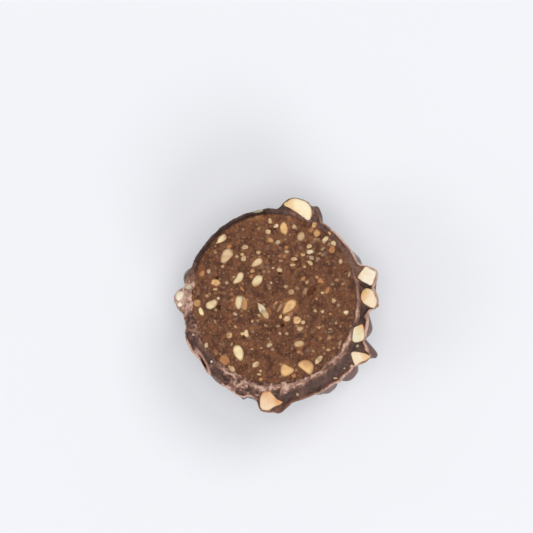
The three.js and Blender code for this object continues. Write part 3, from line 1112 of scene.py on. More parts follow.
@dataclass(frozen=True)
class NutBits:
    """Chopped hazelnut bits in the paste, cut flush by the knife.

    Attributes:
        rows: Size and height of each ring.
        roast_shares: Most roast of one side, of the edge, and of both.
        smear_shares: Most paste along the edge, and in all.
    """

    columns: int = 24
    rows: tuple[Point, ...] = (
        (0.5, -0.5), (0.85, -0.4), (1.0, -0.2), (1.04, -0.06), (0.97, 0.0), (0.86, 0.02), (0.65, 0.035),
        (0.35, 0.04),
    )
    tail: float = 0.1
    taper_stray: float = 0.12
    bend_stray: float = 0.1
    bend_middle: float = 0.4
    bumps: tuple[int, ...] = (2, 3, 4, 5)
    bump_phase: float = 6.0
    bump_height: float = 0.07
    bump_fall: float = 0.5
    tilt: float = 0.02
    lift: Point = (-0.02, 0.04)
    edge_span: Point = (0.7, 1.02)
    roast_size: float = 1.6
    roast_span: Point = (0.0, 0.6)
    roast_shares: Triple = (0.55, 0.45, 0.9)
    light: Point = (0.88, 1.04)
    mottle: float = 0.25
    mottle_size: float = 0.9
    film: float = 0.7
    film_span: Point = (3.2, 1.4)
    film_size: float = 0.8
    film_patches: Point = (0.0, 0.5)
    smear_shares: Point = (0.55, 0.85)
    settle: float = 0.3
    deepest: float = -0.1
    seed: int = 7
    noise_seeds: int = 900

    def surface(self, bit: Bit, rng: np.random.Generator) -> Surface:
        """Builds one bit.

        Args:
            bit: Its place, size, tone and shape.
            rng: Draws its unevenness.

        Returns:
            The closed surface with its tint.
        """
        flat = self._outline(bit, rng)
        tilt = rng.normal(scale=self.tilt, size=2)
        rings = np.stack(
            [np.column_stack((flat * share, height + flat @ tilt)) for share, height in self.rows]
        )
        lift = rng.uniform(*self.lift)
        rings += (bit.x, bit.y, lift)
        low = np.array((bit.x, bit.y, self.rows[0][1] - self.tail))
        high = np.array((bit.x, bit.y, self.rows[-1][1] + lift))
        surface = Surface.loft(rings, low, high)
        surface.colours["tint"] = self._tint(surface.points, bit, rng)
        return surface

    def _outline(self, bit: Bit, rng: np.random.Generator) -> Array:
        """Outline of a bit about its middle.

        Args:
            bit: Its size, turn and shape.
            rng: Draws its unevenness.

        Returns:
            Points on the cut face.
        """
        taper, bend, power = bit.shape.value
        turns = np.linspace(0, 2 * math.pi, self.columns, endpoint=False)
        along = np.sign(np.cos(turns)) * np.abs(np.cos(turns)) ** power
        across = np.sign(np.sin(turns)) * np.abs(np.sin(turns)) ** power
        taper += rng.uniform(-self.taper_stray, self.taper_stray)
        bend += rng.uniform(-self.bend_stray, self.bend_stray)
        across = across * (1 - taper * along) + bend * (along**2 - self.bend_middle)
        waves = np.stack([np.cos(bump * turns + rng.uniform(0, self.bump_phase)) for bump in self.bumps])
        height = self.bump_height / (1 + self.bump_fall * bit.length)
        uneven = 1 + rng.normal(scale=height, size=len(self.bumps)) @ waves
        flat = np.stack((along * bit.length / 2, across * bit.width / 2), 1) * uneven[:, None]
        c, s = heading(bit.turn)
        return flat @ np.array(((c, s), (-s, c)))

    def _tint(self, points: Array, bit: Bit, rng: np.random.Generator) -> Array:
        """Tone of a bit, browner on one roasted side and smeared with paste, most if small.

        Args:
            points: Points of the bit.
            bit: Its tone and length.
            rng: Draws its blotches.

        Returns:
            One colour for each point.
        """
        edge = [ease(*self.edge_span, share) if height >= 0 else 1.0 for share, height in self.rows]
        edge = np.concatenate((np.repeat(edge, self.columns), (1.0, 0.0)))
        side = ease(*self.roast_span, self._blotches(points, self.roast_size, rng))
        on_side, on_edge, most = self.roast_shares
        roast = np.clip(on_side * side + on_edge * edge, 0, most)
        light = rng.uniform(*self.light)
        light = light + self.mottle * self._blotches(points, self.mottle_size, rng)
        tint = blend(bit.tone.colour * light[:, None], Tone.AMBER.colour, roast)
        film = rng.uniform(0.0, self.film) * ease(*self.film_span, bit.length)
        film = film * ease(*self.film_patches, self._blotches(points, self.film_size, rng))
        on_edge, most = self.smear_shares
        return blend(tint, Tone.PASTE.colour, np.clip(film + on_edge * edge, 0, most))

    def _blotches(self, points: Array, size: float, rng: np.random.Generator) -> Array:
        """Noise of a size with a seed of its own."""
        return swirl(points, size, int(rng.integers(self.noise_seeds)))

    def build(self, filling: "Filling") -> None:
        """Makes all bits as one piece, each set on the paste's own relief.

        Args:
            filling: The filling that they sit in.
        """
        rng = np.random.default_rng(self.seed)
        places = np.array([(bit.x, bit.y, 0.0) for bit in NUT_BITS])
        surfaces = [self.surface(bit, rng) for bit in NUT_BITS]
        for surface, height in zip(surfaces, filling.height(places)):
            surface.points[:, 2] += self.settle * max(height, self.deepest)
        piece = Surface.joined(surfaces).to_object("nut_bits", HazelnutFinish().material())
        seat(piece, Slot.HAZELNUT)


@dataclass(frozen=True)
class Filling:
    """The cut half ball of paste: a fine cut face with real relief on a plain round back."""

    form: BallForm
    cells: int = 240
    back_rows: int = 10
    pits: tuple[Triple, ...] = (
        (-11.2, -1.7, 0.42), (7.4, 1.25, 0.6), (8.1, 2.0, 0.45), (1.3, 5.2, 0.3), (-6.0, -7.8, 0.25),
        (1.85, -5.4, 0.3), (-11.6, 4.3, 0.25),
    )
    pit_depth: float = 0.8
    grain: tuple[Wave, ...] = (
        Wave(0.05, 1.4, Seed.PASTE_WAVE), Wave(0.045, 0.6, Seed.PASTE_GRAIN),
        Wave(0.03, 0.3, Seed.PASTE_FINE),
    )
    hole_wave: Wave = Wave(-1.0, 0.55, Seed.PASTE_HOLE)
    hole_span: Point = (0.3, 0.6)
    hole_depth: float = 0.16
    edge_dip: float = 0.1
    edge_width: float = 0.25
    seat_depth: float = 0.14
    seat_span: Point = (1.1, 0.8)
    glow: Point = (0.1, 0.7)
    glow_margin: float = 0.3
    glow_shares: Point = (0.75, 0.4)
    edge_glow: float = 0.7
    edge_glow_span: Point = (2.2, 0.2)
    edge_glow_wave: Wave = Wave(1.0, 1.5, Seed.PASTE_GLOW)
    patch_span: Point = (-0.4, 0.5)
    oily_start: Point = (45.0, 80.0)
    oily_end: Point = (205.0, 175.0)
    dry_share: float = 0.5
    face_span: Point = (-0.6, -0.4)
    glow_seed: int = 3
    smallest: float = 1e-9

    def height(self, points: Array) -> Array:
        """Relief of the cut face: grain, small holes and named pits.

        Args:
            points: Places on the face.

        Returns:
            Heights above the cut.
        """
        grain = sum(wave.at(points) for wave in self.grain)
        holes = self.hole_depth * ease(*self.hole_span, self.hole_wave.at(points))
        away = [np.hypot(points[..., 0] - x, points[..., 1] - y) / size for x, y, size in self.pits]
        pits = sum(self.pit_depth * bell(share**2, 1.0) for share in away)
        return grain - holes - pits

    def disc(self, cells: int) -> Array:
        """Grid of even cells spread over the round cut face.

        Args:
            cells: Cells along each side of the grid.

        Returns:
            Array of rows, columns and coordinates.
        """
        steps = np.linspace(-1, 1, cells + 1)
        u, v = np.meshgrid(steps, steps, indexing="xy")
        flat = np.abs(u) > np.abs(v)
        radius = np.where(flat, u, v)
        ratio = np.divide(np.where(flat, v, u), radius, out=np.zeros_like(u), where=radius != 0)
        turn = np.where(flat, ratio * math.pi / 4, math.pi / 2 - ratio * math.pi / 4)
        ways = np.stack((np.cos(turn), np.sin(turn), np.zeros_like(u)), -1) * np.sign(radius)[..., None]
        return ways * (np.abs(radius) * self.form.paste(ways))[..., None]

    def build(self) -> None:
        """Makes the filling."""
        grid = self.disc(self.cells)
        radius = np.linalg.norm(grid, axis=-1)
        edge = self.form.paste(grid / np.maximum(radius, self.smallest)[..., None]) - radius
        grid[..., 2] = self.height(grid) - self.edge_dip * bell(edge, self.edge_width)
        for bit in NUT_BITS:
            grid[..., 2] -= self.seat_depth * ease(*self.seat_span, bit.share(grid))
        index = numbered(*grid.shape[:2])
        loop = np.concatenate((index[0, :-1], index[:-1, -1], index[-1, :0:-1], index[:0:-1, 0]))
        face = grid.reshape(-1, 3)
        angle = np.degrees(np.arctan2(face[loop, 1], face[loop, 0]))
        drops = np.linspace(0, POLE, self.back_rows + 1)[1:-1]
        ways = directions(angle[None], drops[:, None])
        back = ways * self.form.paste(ways)[..., None]
        points = np.vstack((face, back.reshape(-1, 3), (0, 0, -self.form.paste_radius)))
        surface = Surface(points, sheet_faces(index) + self._back(loop, len(drops), index.size))
        surface.values["amber"] = self._amber(points)
        piece = surface.to_object("cut_filling", PasteFinish().material())
        seat(piece, Slot.FILLING, "filling")

    @staticmethod
    def _back(loop: Array, rows: int, first: int) -> Faces:
        """Faces of the round back, from the cut face's edge down to the pole.

        Args:
            loop: Point numbers along the edge.
            rows: Rings below it.
            first: Number of the first ring's first point.

        Returns:
            Corners for each face.
        """
        rings = np.vstack((loop, first + numbered(rows, len(loop))))
        faces = []
        for high, low in zip(rings, rings[1:]):
            faces += np.stack((low, np.roll(low, -1), np.roll(high, -1), high), 1).tolist()
        pole = int(rings[-1, -1]) + 1
        return faces + [[pole, after, here] for here, after in sides(rings[-1])]

    def _amber(self, points: Array) -> Array:
        """Warm glow of oily paste beside the nut bits and along the edge of the cut.

        Args:
            points: Points of the filling.

        Returns:
            The glow from 0 to 1 at each point.
        """
        rng = np.random.default_rng(self.glow_seed)
        glow = np.zeros(len(points))
        for bit in NUT_BITS:
            away = np.hypot(points[:, 0] - bit.x, points[:, 1] - bit.y)
            end, full = (share * bit.length for share in self.glow_shares)
            glow = np.maximum(glow, rng.uniform(*self.glow) * ease(self.glow_margin + end, full, away))
        edge = self.form.paste_radius - np.hypot(points[:, 0], points[:, 1])
        angle = np.degrees(np.arctan2(points[:, 1], points[:, 0])) % FULL_TURN
        oily = ease(*self.oily_start, angle) * ease(*self.oily_end, angle)
        share = self.dry_share + (1 - self.dry_share) * oily
        patches = ease(*self.patch_span, self.edge_glow_wave.at(points)) * share
        along = self.edge_glow * patches * ease(*self.edge_glow_span, edge)
        return np.maximum(glow, along) * ease(*self.face_span, points[:, 2])


class LumpKind(Enum):
    """Lumps of the dome: least and most height, least and most reach, and how drawn out they are."""

    HUMP = (1.0, 1.5, 3.8, 4.8, 1.1)
    NUB = (1.0, 1.5, 2.1, 2.7, 1.05)
    RIDGE = (1.0, 1.4, 2.6, 3.3, 1.35)
    GRIT = (0.5, 0.9, 1.5, 1.9, 1.1)


@dataclass(frozen=True)
class Lump:
    """A lump of the coating over a nut piece: a hump that runs out smoothly into the coat.

    Attributes:
        power: 2 for a round outline, more for a squarer one.
        fullness: 2 for a plain hump, more for a flatter top.
    """

    angle: float
    drop: float
    height: float
    reach: float
    stretch: float = 1.0
    turn: float = 0.0
    power: float = 2.0
    fullness: float = 2.0

    def rise(self, ways: Array, radius: Array) -> Array:
        """Height of the lump over the even coat.

        Args:
            ways: Unit directions.
            radius: Distance to the even coat there.

        Returns:
            One height for each direction.
        """
        middle = directions(self.angle, self.drop)
        east = np.cross((0, 0, 1), middle)
        east /= np.linalg.norm(east)
        c, s = heading(self.turn)
        down = np.cross(east, middle)
        u = radius * (ways @ (c * east + s * down)) / (self.reach * self.stretch)
        v = radius * (ways @ (c * down - s * east)) * self.stretch / self.reach
        away = (np.abs(u) ** self.power + np.abs(v) ** self.power) ** (1 / self.power)
        away = np.where(ways @ middle > 0, np.minimum(away, 1), 1)
        return self.height * (1 - away**self.fullness) ** 2


@dataclass(frozen=True)
class RimZone:
    """How the knife left the coating at an angle.

    Attributes:
        rough: How crumbly the cut is.
        spread: Share of the rim's width, from the paste, that crumbled.
        pale: How pale the crumbled part is all over.
        ridge: How strong the pale ridge beside the paste is.
        lip: How pale the band along the outer edge is.
        band: Width of that band.
        recess: How far the cut lies below the paste.
        painted_sheen: How far the outside below the edge is painted paler, as painted sheen.
        smear: How evenly pale the cut is where the knife smeared it.
        crackle: How fine the crumbs are.
    """

    angle: float
    rough: float
    spread: float
    pale: float
    ridge: float
    lip: float
    band: float
    recess: float
    painted_sheen: float = 0.08
    smear: float = 0.0
    crackle: float = 0.0


RIM_ZONES = (
    RimZone(-180, 0.7, 1.0, 1.7, 0.9, 1.0, 0.5, 0.0, smear=1.0),
    RimZone(-173, 0.75, 1.0, 1.3, 0.7, 0.9, 0.4, 0.05, smear=0.8),
    RimZone(-168, 0.8, 1.0, 0.5, 0.2, 0.8, 0.3, 0.1, crackle=1.0),
    RimZone(-157, 0.8, 1.0, 0.5, 0.25, 1.0, 0.4, 0.12, crackle=1.0),
    RimZone(-151, 0.25, 0.4, 0.2, 0.8, 1.5, 0.7, 0.5),
    RimZone(-136, 0.2, 0.4, 0.15, 0.4, 1.3, 0.6, 0.4),
    RimZone(-131.5, 0.5, 1.0, 0.45, 0.5, 0.1, 0.4, 0.25),
    RimZone(-123.5, 0.7, 0.6, 0.8, 0.9, 0.1, 0.4, 0.25),
    RimZone(-121, 0.75, 0.85, 0.95, 1.0, 1.2, 0.4, 0.1),
    RimZone(-108, 0.75, 0.85, 0.95, 1.0, 1.2, 0.4, 0.1),
    RimZone(-98, 0.75, 1.0, 0.9, 1.0, 1.0, 0.35, 0.05),
    RimZone(-88, 0.6, 0.3, 0.7, 1.0, 0.5, 0.3, 0.2, 0.2),
    RimZone(-78, 0.55, 0.3, 0.8, 1.1, 0.5, 0.3, 0.4, 0.3),
    RimZone(-68, 0.5, 0.3, 0.5, 1.1, 0.8, 0.4, 0.4, 0.55),
    RimZone(-50, 0.55, 0.3, 0.5, 1.2, 1.1, 0.8, 0.4, 0.7),
    RimZone(-35, 0.45, 0.3, 0.3, 1.4, 1.0, 0.6, 0.4, 0.6),
    RimZone(-27, 0.3, 0.3, 0.2, 1.3, 1.0, 0.7, 0.5, 0.55),
    RimZone(-19, 0.2, 0.3, 0.1, 0.4, 1.1, 0.8, 0.55, 0.5),
    RimZone(-11, 0.15, 0.3, 0.1, 1.3, 1.1, 0.9, 0.55, 0.45),
    RimZone(-3, 0.15, 0.3, 0.1, 0.8, 1.0, 0.8, 0.45, 0.3),
    RimZone(8, 0.15, 0.3, 0.1, 0.9, 1.0, 0.8, 0.4, 0.25, 0.1),
    RimZone(18, 0.1, 0.3, 0.05, 0.6, 1.3, 0.65, 0.3, 0.15, 0.35),
    RimZone(32, 0.15, 0.3, 0.05, 0.5, 1.4, 0.55, 0.3, 0.1, 0.3),
    RimZone(50, 0.2, 0.5, 0.1, 0.3, 1.1, 0.5, 0.3),
    RimZone(62, 0.4, 1.0, 0.3, 0.4, 0.5, 0.4, 0.15),
    RimZone(75, 0.3, 1.0, 0.2, 0.6, 0.4, 0.4, 0.1),
    RimZone(88, 0.4, 1.0, 0.15, 0.2, 0.3, 0.3, 0.3),
    RimZone(100, 0.5, 1.0, 0.03, 0.0, 0.1, 0.3, 0.6),
    RimZone(150, 0.5, 1.0, 0.03, 0.0, 0.1, 0.3, 0.6),
    RimZone(165, 0.7, 1.0, 0.4, 0.2, 0.4, 0.3, 0.2),
)


def rim_qualities(angles: Array) -> dict[str, Array]:
    """Every quality of the rim's zones at angles between them.

    Args:
        angles: Angles round the rim.

    Returns:
        One array for each quality, under its name in RimZone.
    """
    places = [zone.angle for zone in RIM_ZONES]
    qualities = {}
    for quality in fields(RimZone)[1:]:
        values = [getattr(zone, quality.name) for zone in RIM_ZONES]
        qualities[quality.name] = np.interp(angles, places, values, period=FULL_TURN)
    return qualities


@dataclass(frozen=True)
class Dent(Oval):
    """An oval hollow in the cut rim, or a knob if its depth is negative."""

    depth: float = 0.0


@dataclass(frozen=True)
class Notch:
    """A bite out of the coating's edge: its angle, half its width as an angle, and its depth."""

    angle: float
    width: float
    bite: float


@dataclass
class CutRim:
    """The knife-cut face of the coating as a grid, from its outer edge to the paste.

    A place and a width tell where a pale line lies beside something, and grit is its fine unevenness.

    Attributes:
        streak_radius: Radius at which noise along the rim has its true length.
        streak_draw: How much narrower than long that noise is.
        broken_pale: How pale broken chocolate is, how much paler in veins, and how much by its crumbs.
    """

    form: BallForm
    edge: Array
    angles: Array
    rows: int = 26
    slit: Dent = Dent(-14.3, -13.0, 2.4, 0.45, -62, 1.2)
    knob: Dent = Dent(18.7, -3.7, 1.5, 1.1, 70, -0.4)
    # Hollows sink the cut, and pale() paints them darker as painted shade.
    hollows: tuple[Dent, ...] = (
        Dent(18.9, 2.5, 3.0, 1.5, -20, 0.5), Dent(17.6, 0.3, 3.4, 0.9, 90, 0.5),
        Dent(18.2, -3.4, 4.2, 1.9, 80, 0.35), Dent(-9.0, -17.3, 3.0, 1.2, -28, 0.15),
        Dent(2.6, -20.3, 4.2, 1.8, 40, 0.4),
    )
    overlap: float = 0.12
    overlap_stray: Line = Line(0.1, 0.35)
    overlap_mean: float = 0.5
    overlap_most: float = 1.2
    overlap_wave: Wave = Wave(1.0, 1.2, Seed.RIM_OVERLAP)
    coarse_wave: Wave = Wave(1.0, 1.5, Seed.RIM_COARSE)
    fine_wave: Wave = Wave(1.0, 0.55, Seed.RIM_FINE)
    flake_wave: Wave = Wave(1.0, 2.0, Seed.RIM_FLAKE)
    vein_wave: Wave = Wave(1.0, 2.3, Seed.RIM_VEIN)
    ridge_wave: Wave = Wave(0.25, 1.6, Seed.RIM_RIDGE)
    break_wave: Wave = Wave(0.7, 1.4, Seed.RIM_BREAK)
    streak_wave: Wave = Wave(0.4, 1.0, Seed.RIM_STREAK)
    streak_radius: float = 18.0
    streak_draw: float = 4.0
    coarse_share: Line = Line(0.75, -0.55)
    fine_share: Line = Line(0.3, 0.6)
    vein_span: Point = (0.75, 1.0)
    flake_span: Point = (0.8, 1.0)
    flake_share: float = 0.8
    crumb_blur: Point = (0.3, -0.05)
    ridge_place: Line = Line(0.5, 0.6)
    ridge_width: Line = Line(0.5, 0.4)
    ridge_mean: float = 0.9
    ridge_stray: Line = Line(0.3, 1.8)
    ridge_crumbs: float = 0.5
    ridge_range: Point = (0.1, 1.3)
    ridge_height: float = 0.35
    ridge_pale: float = 0.75
    ridge_grit: float = 0.6
    lip_full: float = 0.45
    lip_uneven: Line = Line(0.95, 0.5)
    lip_range: Point = (0.5, 1.1)
    lip_height: float = 0.05
    lip_pale: float = 0.85
    lip_grit: float = 0.5
    hollow_span: Point = (1.3, 0.3)
    hollow_off_edge: Point = (0.3, 0.8)
    hollow_off_paste: Point = (0.9, 1.4)
    hollow_shade: float = 0.7
    bowl_inner: Point = (0.0, 0.3)
    bowl_outer: Point = (0.3, 0.6)
    grain_height: float = 0.02
    broken_coarse: Line = Line(0.6, -0.3)
    broken_fine: float = 0.25
    broken_veins: float = 0.4
    broken_sink: float = 0.1
    broken_pale: Triple = (0.2, 0.8, 1.5)
    broken_palest: float = 1.5
    slope_light_span: Point = (0.5, 1.0)
    slope_painted_light: float = 0.2
    slope_share: float = 0.16
    smear_pale: float = 0.95
    smear_grit: float = 0.3
    seam_depth: float = 0.2
    seam_width: float = 0.16
    slit_span: Point = (1.1, 0.6)
    slit_dark: Point = (0.7, 1.2)
    slit_pale_and_shine: float = 0.95
    slit_place: float = 2.2
    slit_width: float = 0.9
    knob_span: Point = (1.2, 0.4)
    knob_pale: float = 0.9
    nut_span: Point = (0.98, 0.88)
    nut_stray: float = 0.06
    nut_seat: float = 0.3
    nut_pale: float = 0.6
    nut_place: float = 1.06
    nut_width: float = 0.07
    nut_mean: float = 0.8
    edge_band: float = 0.12

    def __post_init__(self) -> None:
        """Lays out the level grid, its distances from both edges, and its unevenness."""
        self.quality = {name: value[None] for name, value in rim_qualities(self.angles).items()}
        self.rough, self.band = self.quality["rough"], self.quality["band"]
        self.ways = directions(self.angles, 0.0)
        uneven = self.overlap_mean + self.overlap_wave.at(self.ways * self.form.paste_radius)
        uneven = np.clip(uneven, 0, self.overlap_most)
        overlap = self.overlap + self.overlap_stray.at(self.rough[0]) * uneven
        inner = self.form.paste(self.ways) - overlap
        outer = np.hypot(self.edge[:, 0], self.edge[:, 1])
        shares = (1 - np.cos(np.linspace(0, math.pi, self.rows + 1)[1:])) / 2
        radius = outer[None] + (inner - outer)[None] * shares[:, None]
        self.level = self.ways[None] * radius[..., None]
        self.from_edge = outer[None] - radius
        self.from_paste = radius - inner[None]
        self.outward = self.from_paste / (outer - inner)[None]
        self.coarse, self.fine = self.coarse_wave.at(self.level), self.fine_wave.at(self.level)
        crackle = self.quality["crackle"]
        self.crumbly = self.coarse_share.at(crackle) * self.coarse + self.fine_share.at(crackle) * self.fine
        around = self.level * (1, 1, 0) / radius[..., None] * self.streak_radius
        self.along = around + radius[..., None] * (0, 0, self.streak_draw)
        self.on_knob = ease(*self.knob_span, self.knob.share(self.level))

    @cached_property
    def veins(self) -> Array:
        """Narrow broken lines, some of them along the rim."""
        flakes = self.flake_share * ease(*self.flake_span, 1 - np.abs(self.flake_wave.at(self.along)))
        return np.maximum(ease(*self.vein_span, 1 - np.abs(self.vein_wave.at(self.level))), flakes)

    @cached_property
    def crumbled(self) -> Array:
        """How far each point lies in the crumbled part beside the paste."""
        end, full = (self.quality["spread"] + blur for blur in self.crumb_blur)
        return ease(end, full, self.outward)

    @cached_property
    def ridge(self) -> Array:
        """Strength of the broken ridge beside the paste.

        Returns:
            One value for each point.
        """
        place = self.ridge_place.at(self.rough) + self.ridge_wave.at(self.ways * self.streak_radius)
        ridge = self.quality["ridge"] * bell(self.from_paste - place, self.ridge_width.at(self.rough))
        uneven = self.ridge_crumbs * self.crumbly + self.break_wave.at(self.along)
        return ridge * np.clip(self.ridge_mean + self.ridge_stray.at(self.rough) * uneven, *self.ridge_range)

    @cached_property
    def lip(self) -> Array:
        """Strength of the band along the outer edge."""
        lip = self.quality["lip"] * ease(self.band, self.lip_full * self.band, self.from_edge)
        return lip * np.clip(self.lip_uneven.at(self.coarse), *self.lip_range)

    @cached_property
    def dips(self) -> list[Array]:
        """How far each point lies in each hollow, clear of both edges.

        Returns:
            Values from 0 to 1, for each hollow.
        """
        off_edge = ease(*self.hollow_off_edge, self.from_edge)
        off_paste = ease(*self.hollow_off_paste, self.from_paste)
        dips = [ease(*self.hollow_span, hollow.share(self.level)) for hollow in self.hollows]
        return [dip * off_edge * off_paste for dip in dips]

    def height(self) -> Array:
        """Relief of the cut.

        Returns:
            Height of each point over the cut face.
        """
        start, end = self.bowl_outer
        bowl = ease(*self.bowl_inner, self.outward) * ease(start, end + self.band, self.from_edge)
        height = self.ridge_height * self.ridge + self.lip_height * self.lip
        height = height - self.quality["recess"] * bowl + self.grain_height * self.fine
        broken = self.broken_coarse.at(self.quality["crackle"]) * self.coarse
        broken = broken + self.broken_fine * self.fine + self.broken_veins * self.veins - self.broken_sink
        height += self.rough * self.crumbled * broken
        height -= self.seam_depth * bell(self.from_paste, self.seam_width)
        for hollow, dip in zip(self.hollows, self.dips):
            height -= hollow.depth * dip
        height -= self.slit.depth * ease(*self.slit_span, self.slit.share(self.level))
        height -= self.knob.depth * self.on_knob
        for nut in (*RIM_NUTS, *CUT_CRUMBS):
            under = ease(*self.nut_span, nut.share(self.level) + self.nut_stray * self.fine)
            height = height * (1 - under) - self.nut_seat * under
        at_edge = self.edge[None, :, 2] * ease(self.edge_band, 0.0, self.from_edge)
        return height * ease(0.0, self.edge_band, self.from_edge) + at_edge

    def points(self) -> Array:
        """The grid with its relief."""
        return np.concatenate((self.level[..., :2], self.height()[..., None]), axis=-1)

    def pale(self) -> Array:
        """How pale the cut is, where it broke or was smeared, with painted light on the outer slope and
        painted shade in the hollows and the slit.

        Returns:
            Values from 0 to 1.
        """
        # Painted shade: paleness is taken out in the hollows, most where they dip deepest; in the flat dent
        # at the bottom left it is a smoother, darker cut.
        shade = np.maximum.reduce(self.dips)
        # Painted light: the cut is painted paler towards the outer edge, where it rises to the lip; the
        # zone's own paleness adds to it.
        slope = self.slope_painted_light * ease(*self.slope_light_span, self.outward)
        slope = (slope + self.slope_share * self.quality["pale"]) * (1 + self.coarse) * (1 - self.crumbled)
        ridge = self.ridge * (self.ridge_pale + self.ridge_grit * self.rough * self.fine)
        lip = self.lip_pale * self.lip * (1 + self.lip_grit * self.rough * self.fine)
        mean, in_veins, by_crumbs = self.broken_pale
        broken = np.clip(mean + in_veins * self.veins + by_crumbs * self.crumbly, 0, self.broken_palest)
        broken = self.quality["pale"] * self.crumbled * broken
        smear = self.smear_pale + self.streak_wave.at(self.along) + self.smear_grit * self.fine
        smear = self.quality["smear"] * smear
        pale = np.maximum.reduce((ridge, lip, slope, broken, smear)) * (1 - self.hollow_shade * shade)
        for nut in RIM_NUTS:
            beside = self.nut_pale * bell(nut.share(self.level) - self.nut_place, self.nut_width)
            pale = np.maximum(pale, beside * (self.nut_mean + self.fine) * (1 - shade))
        # The pale ring round the slit is crumbled chocolate on its inner side and a painted highlight on its
        # outer side; inside the slit paleness is taken out, as painted shade in the crack.
        slit = self.slit.share(self.level)
        beside = self.slit_pale_and_shine * bell(slit - self.slit_place, self.slit_width)
        pale = np.maximum.reduce((pale, self.knob_pale * self.on_knob, beside))
        return np.clip(pale * ease(*self.slit_dark, slit), 0, 1)


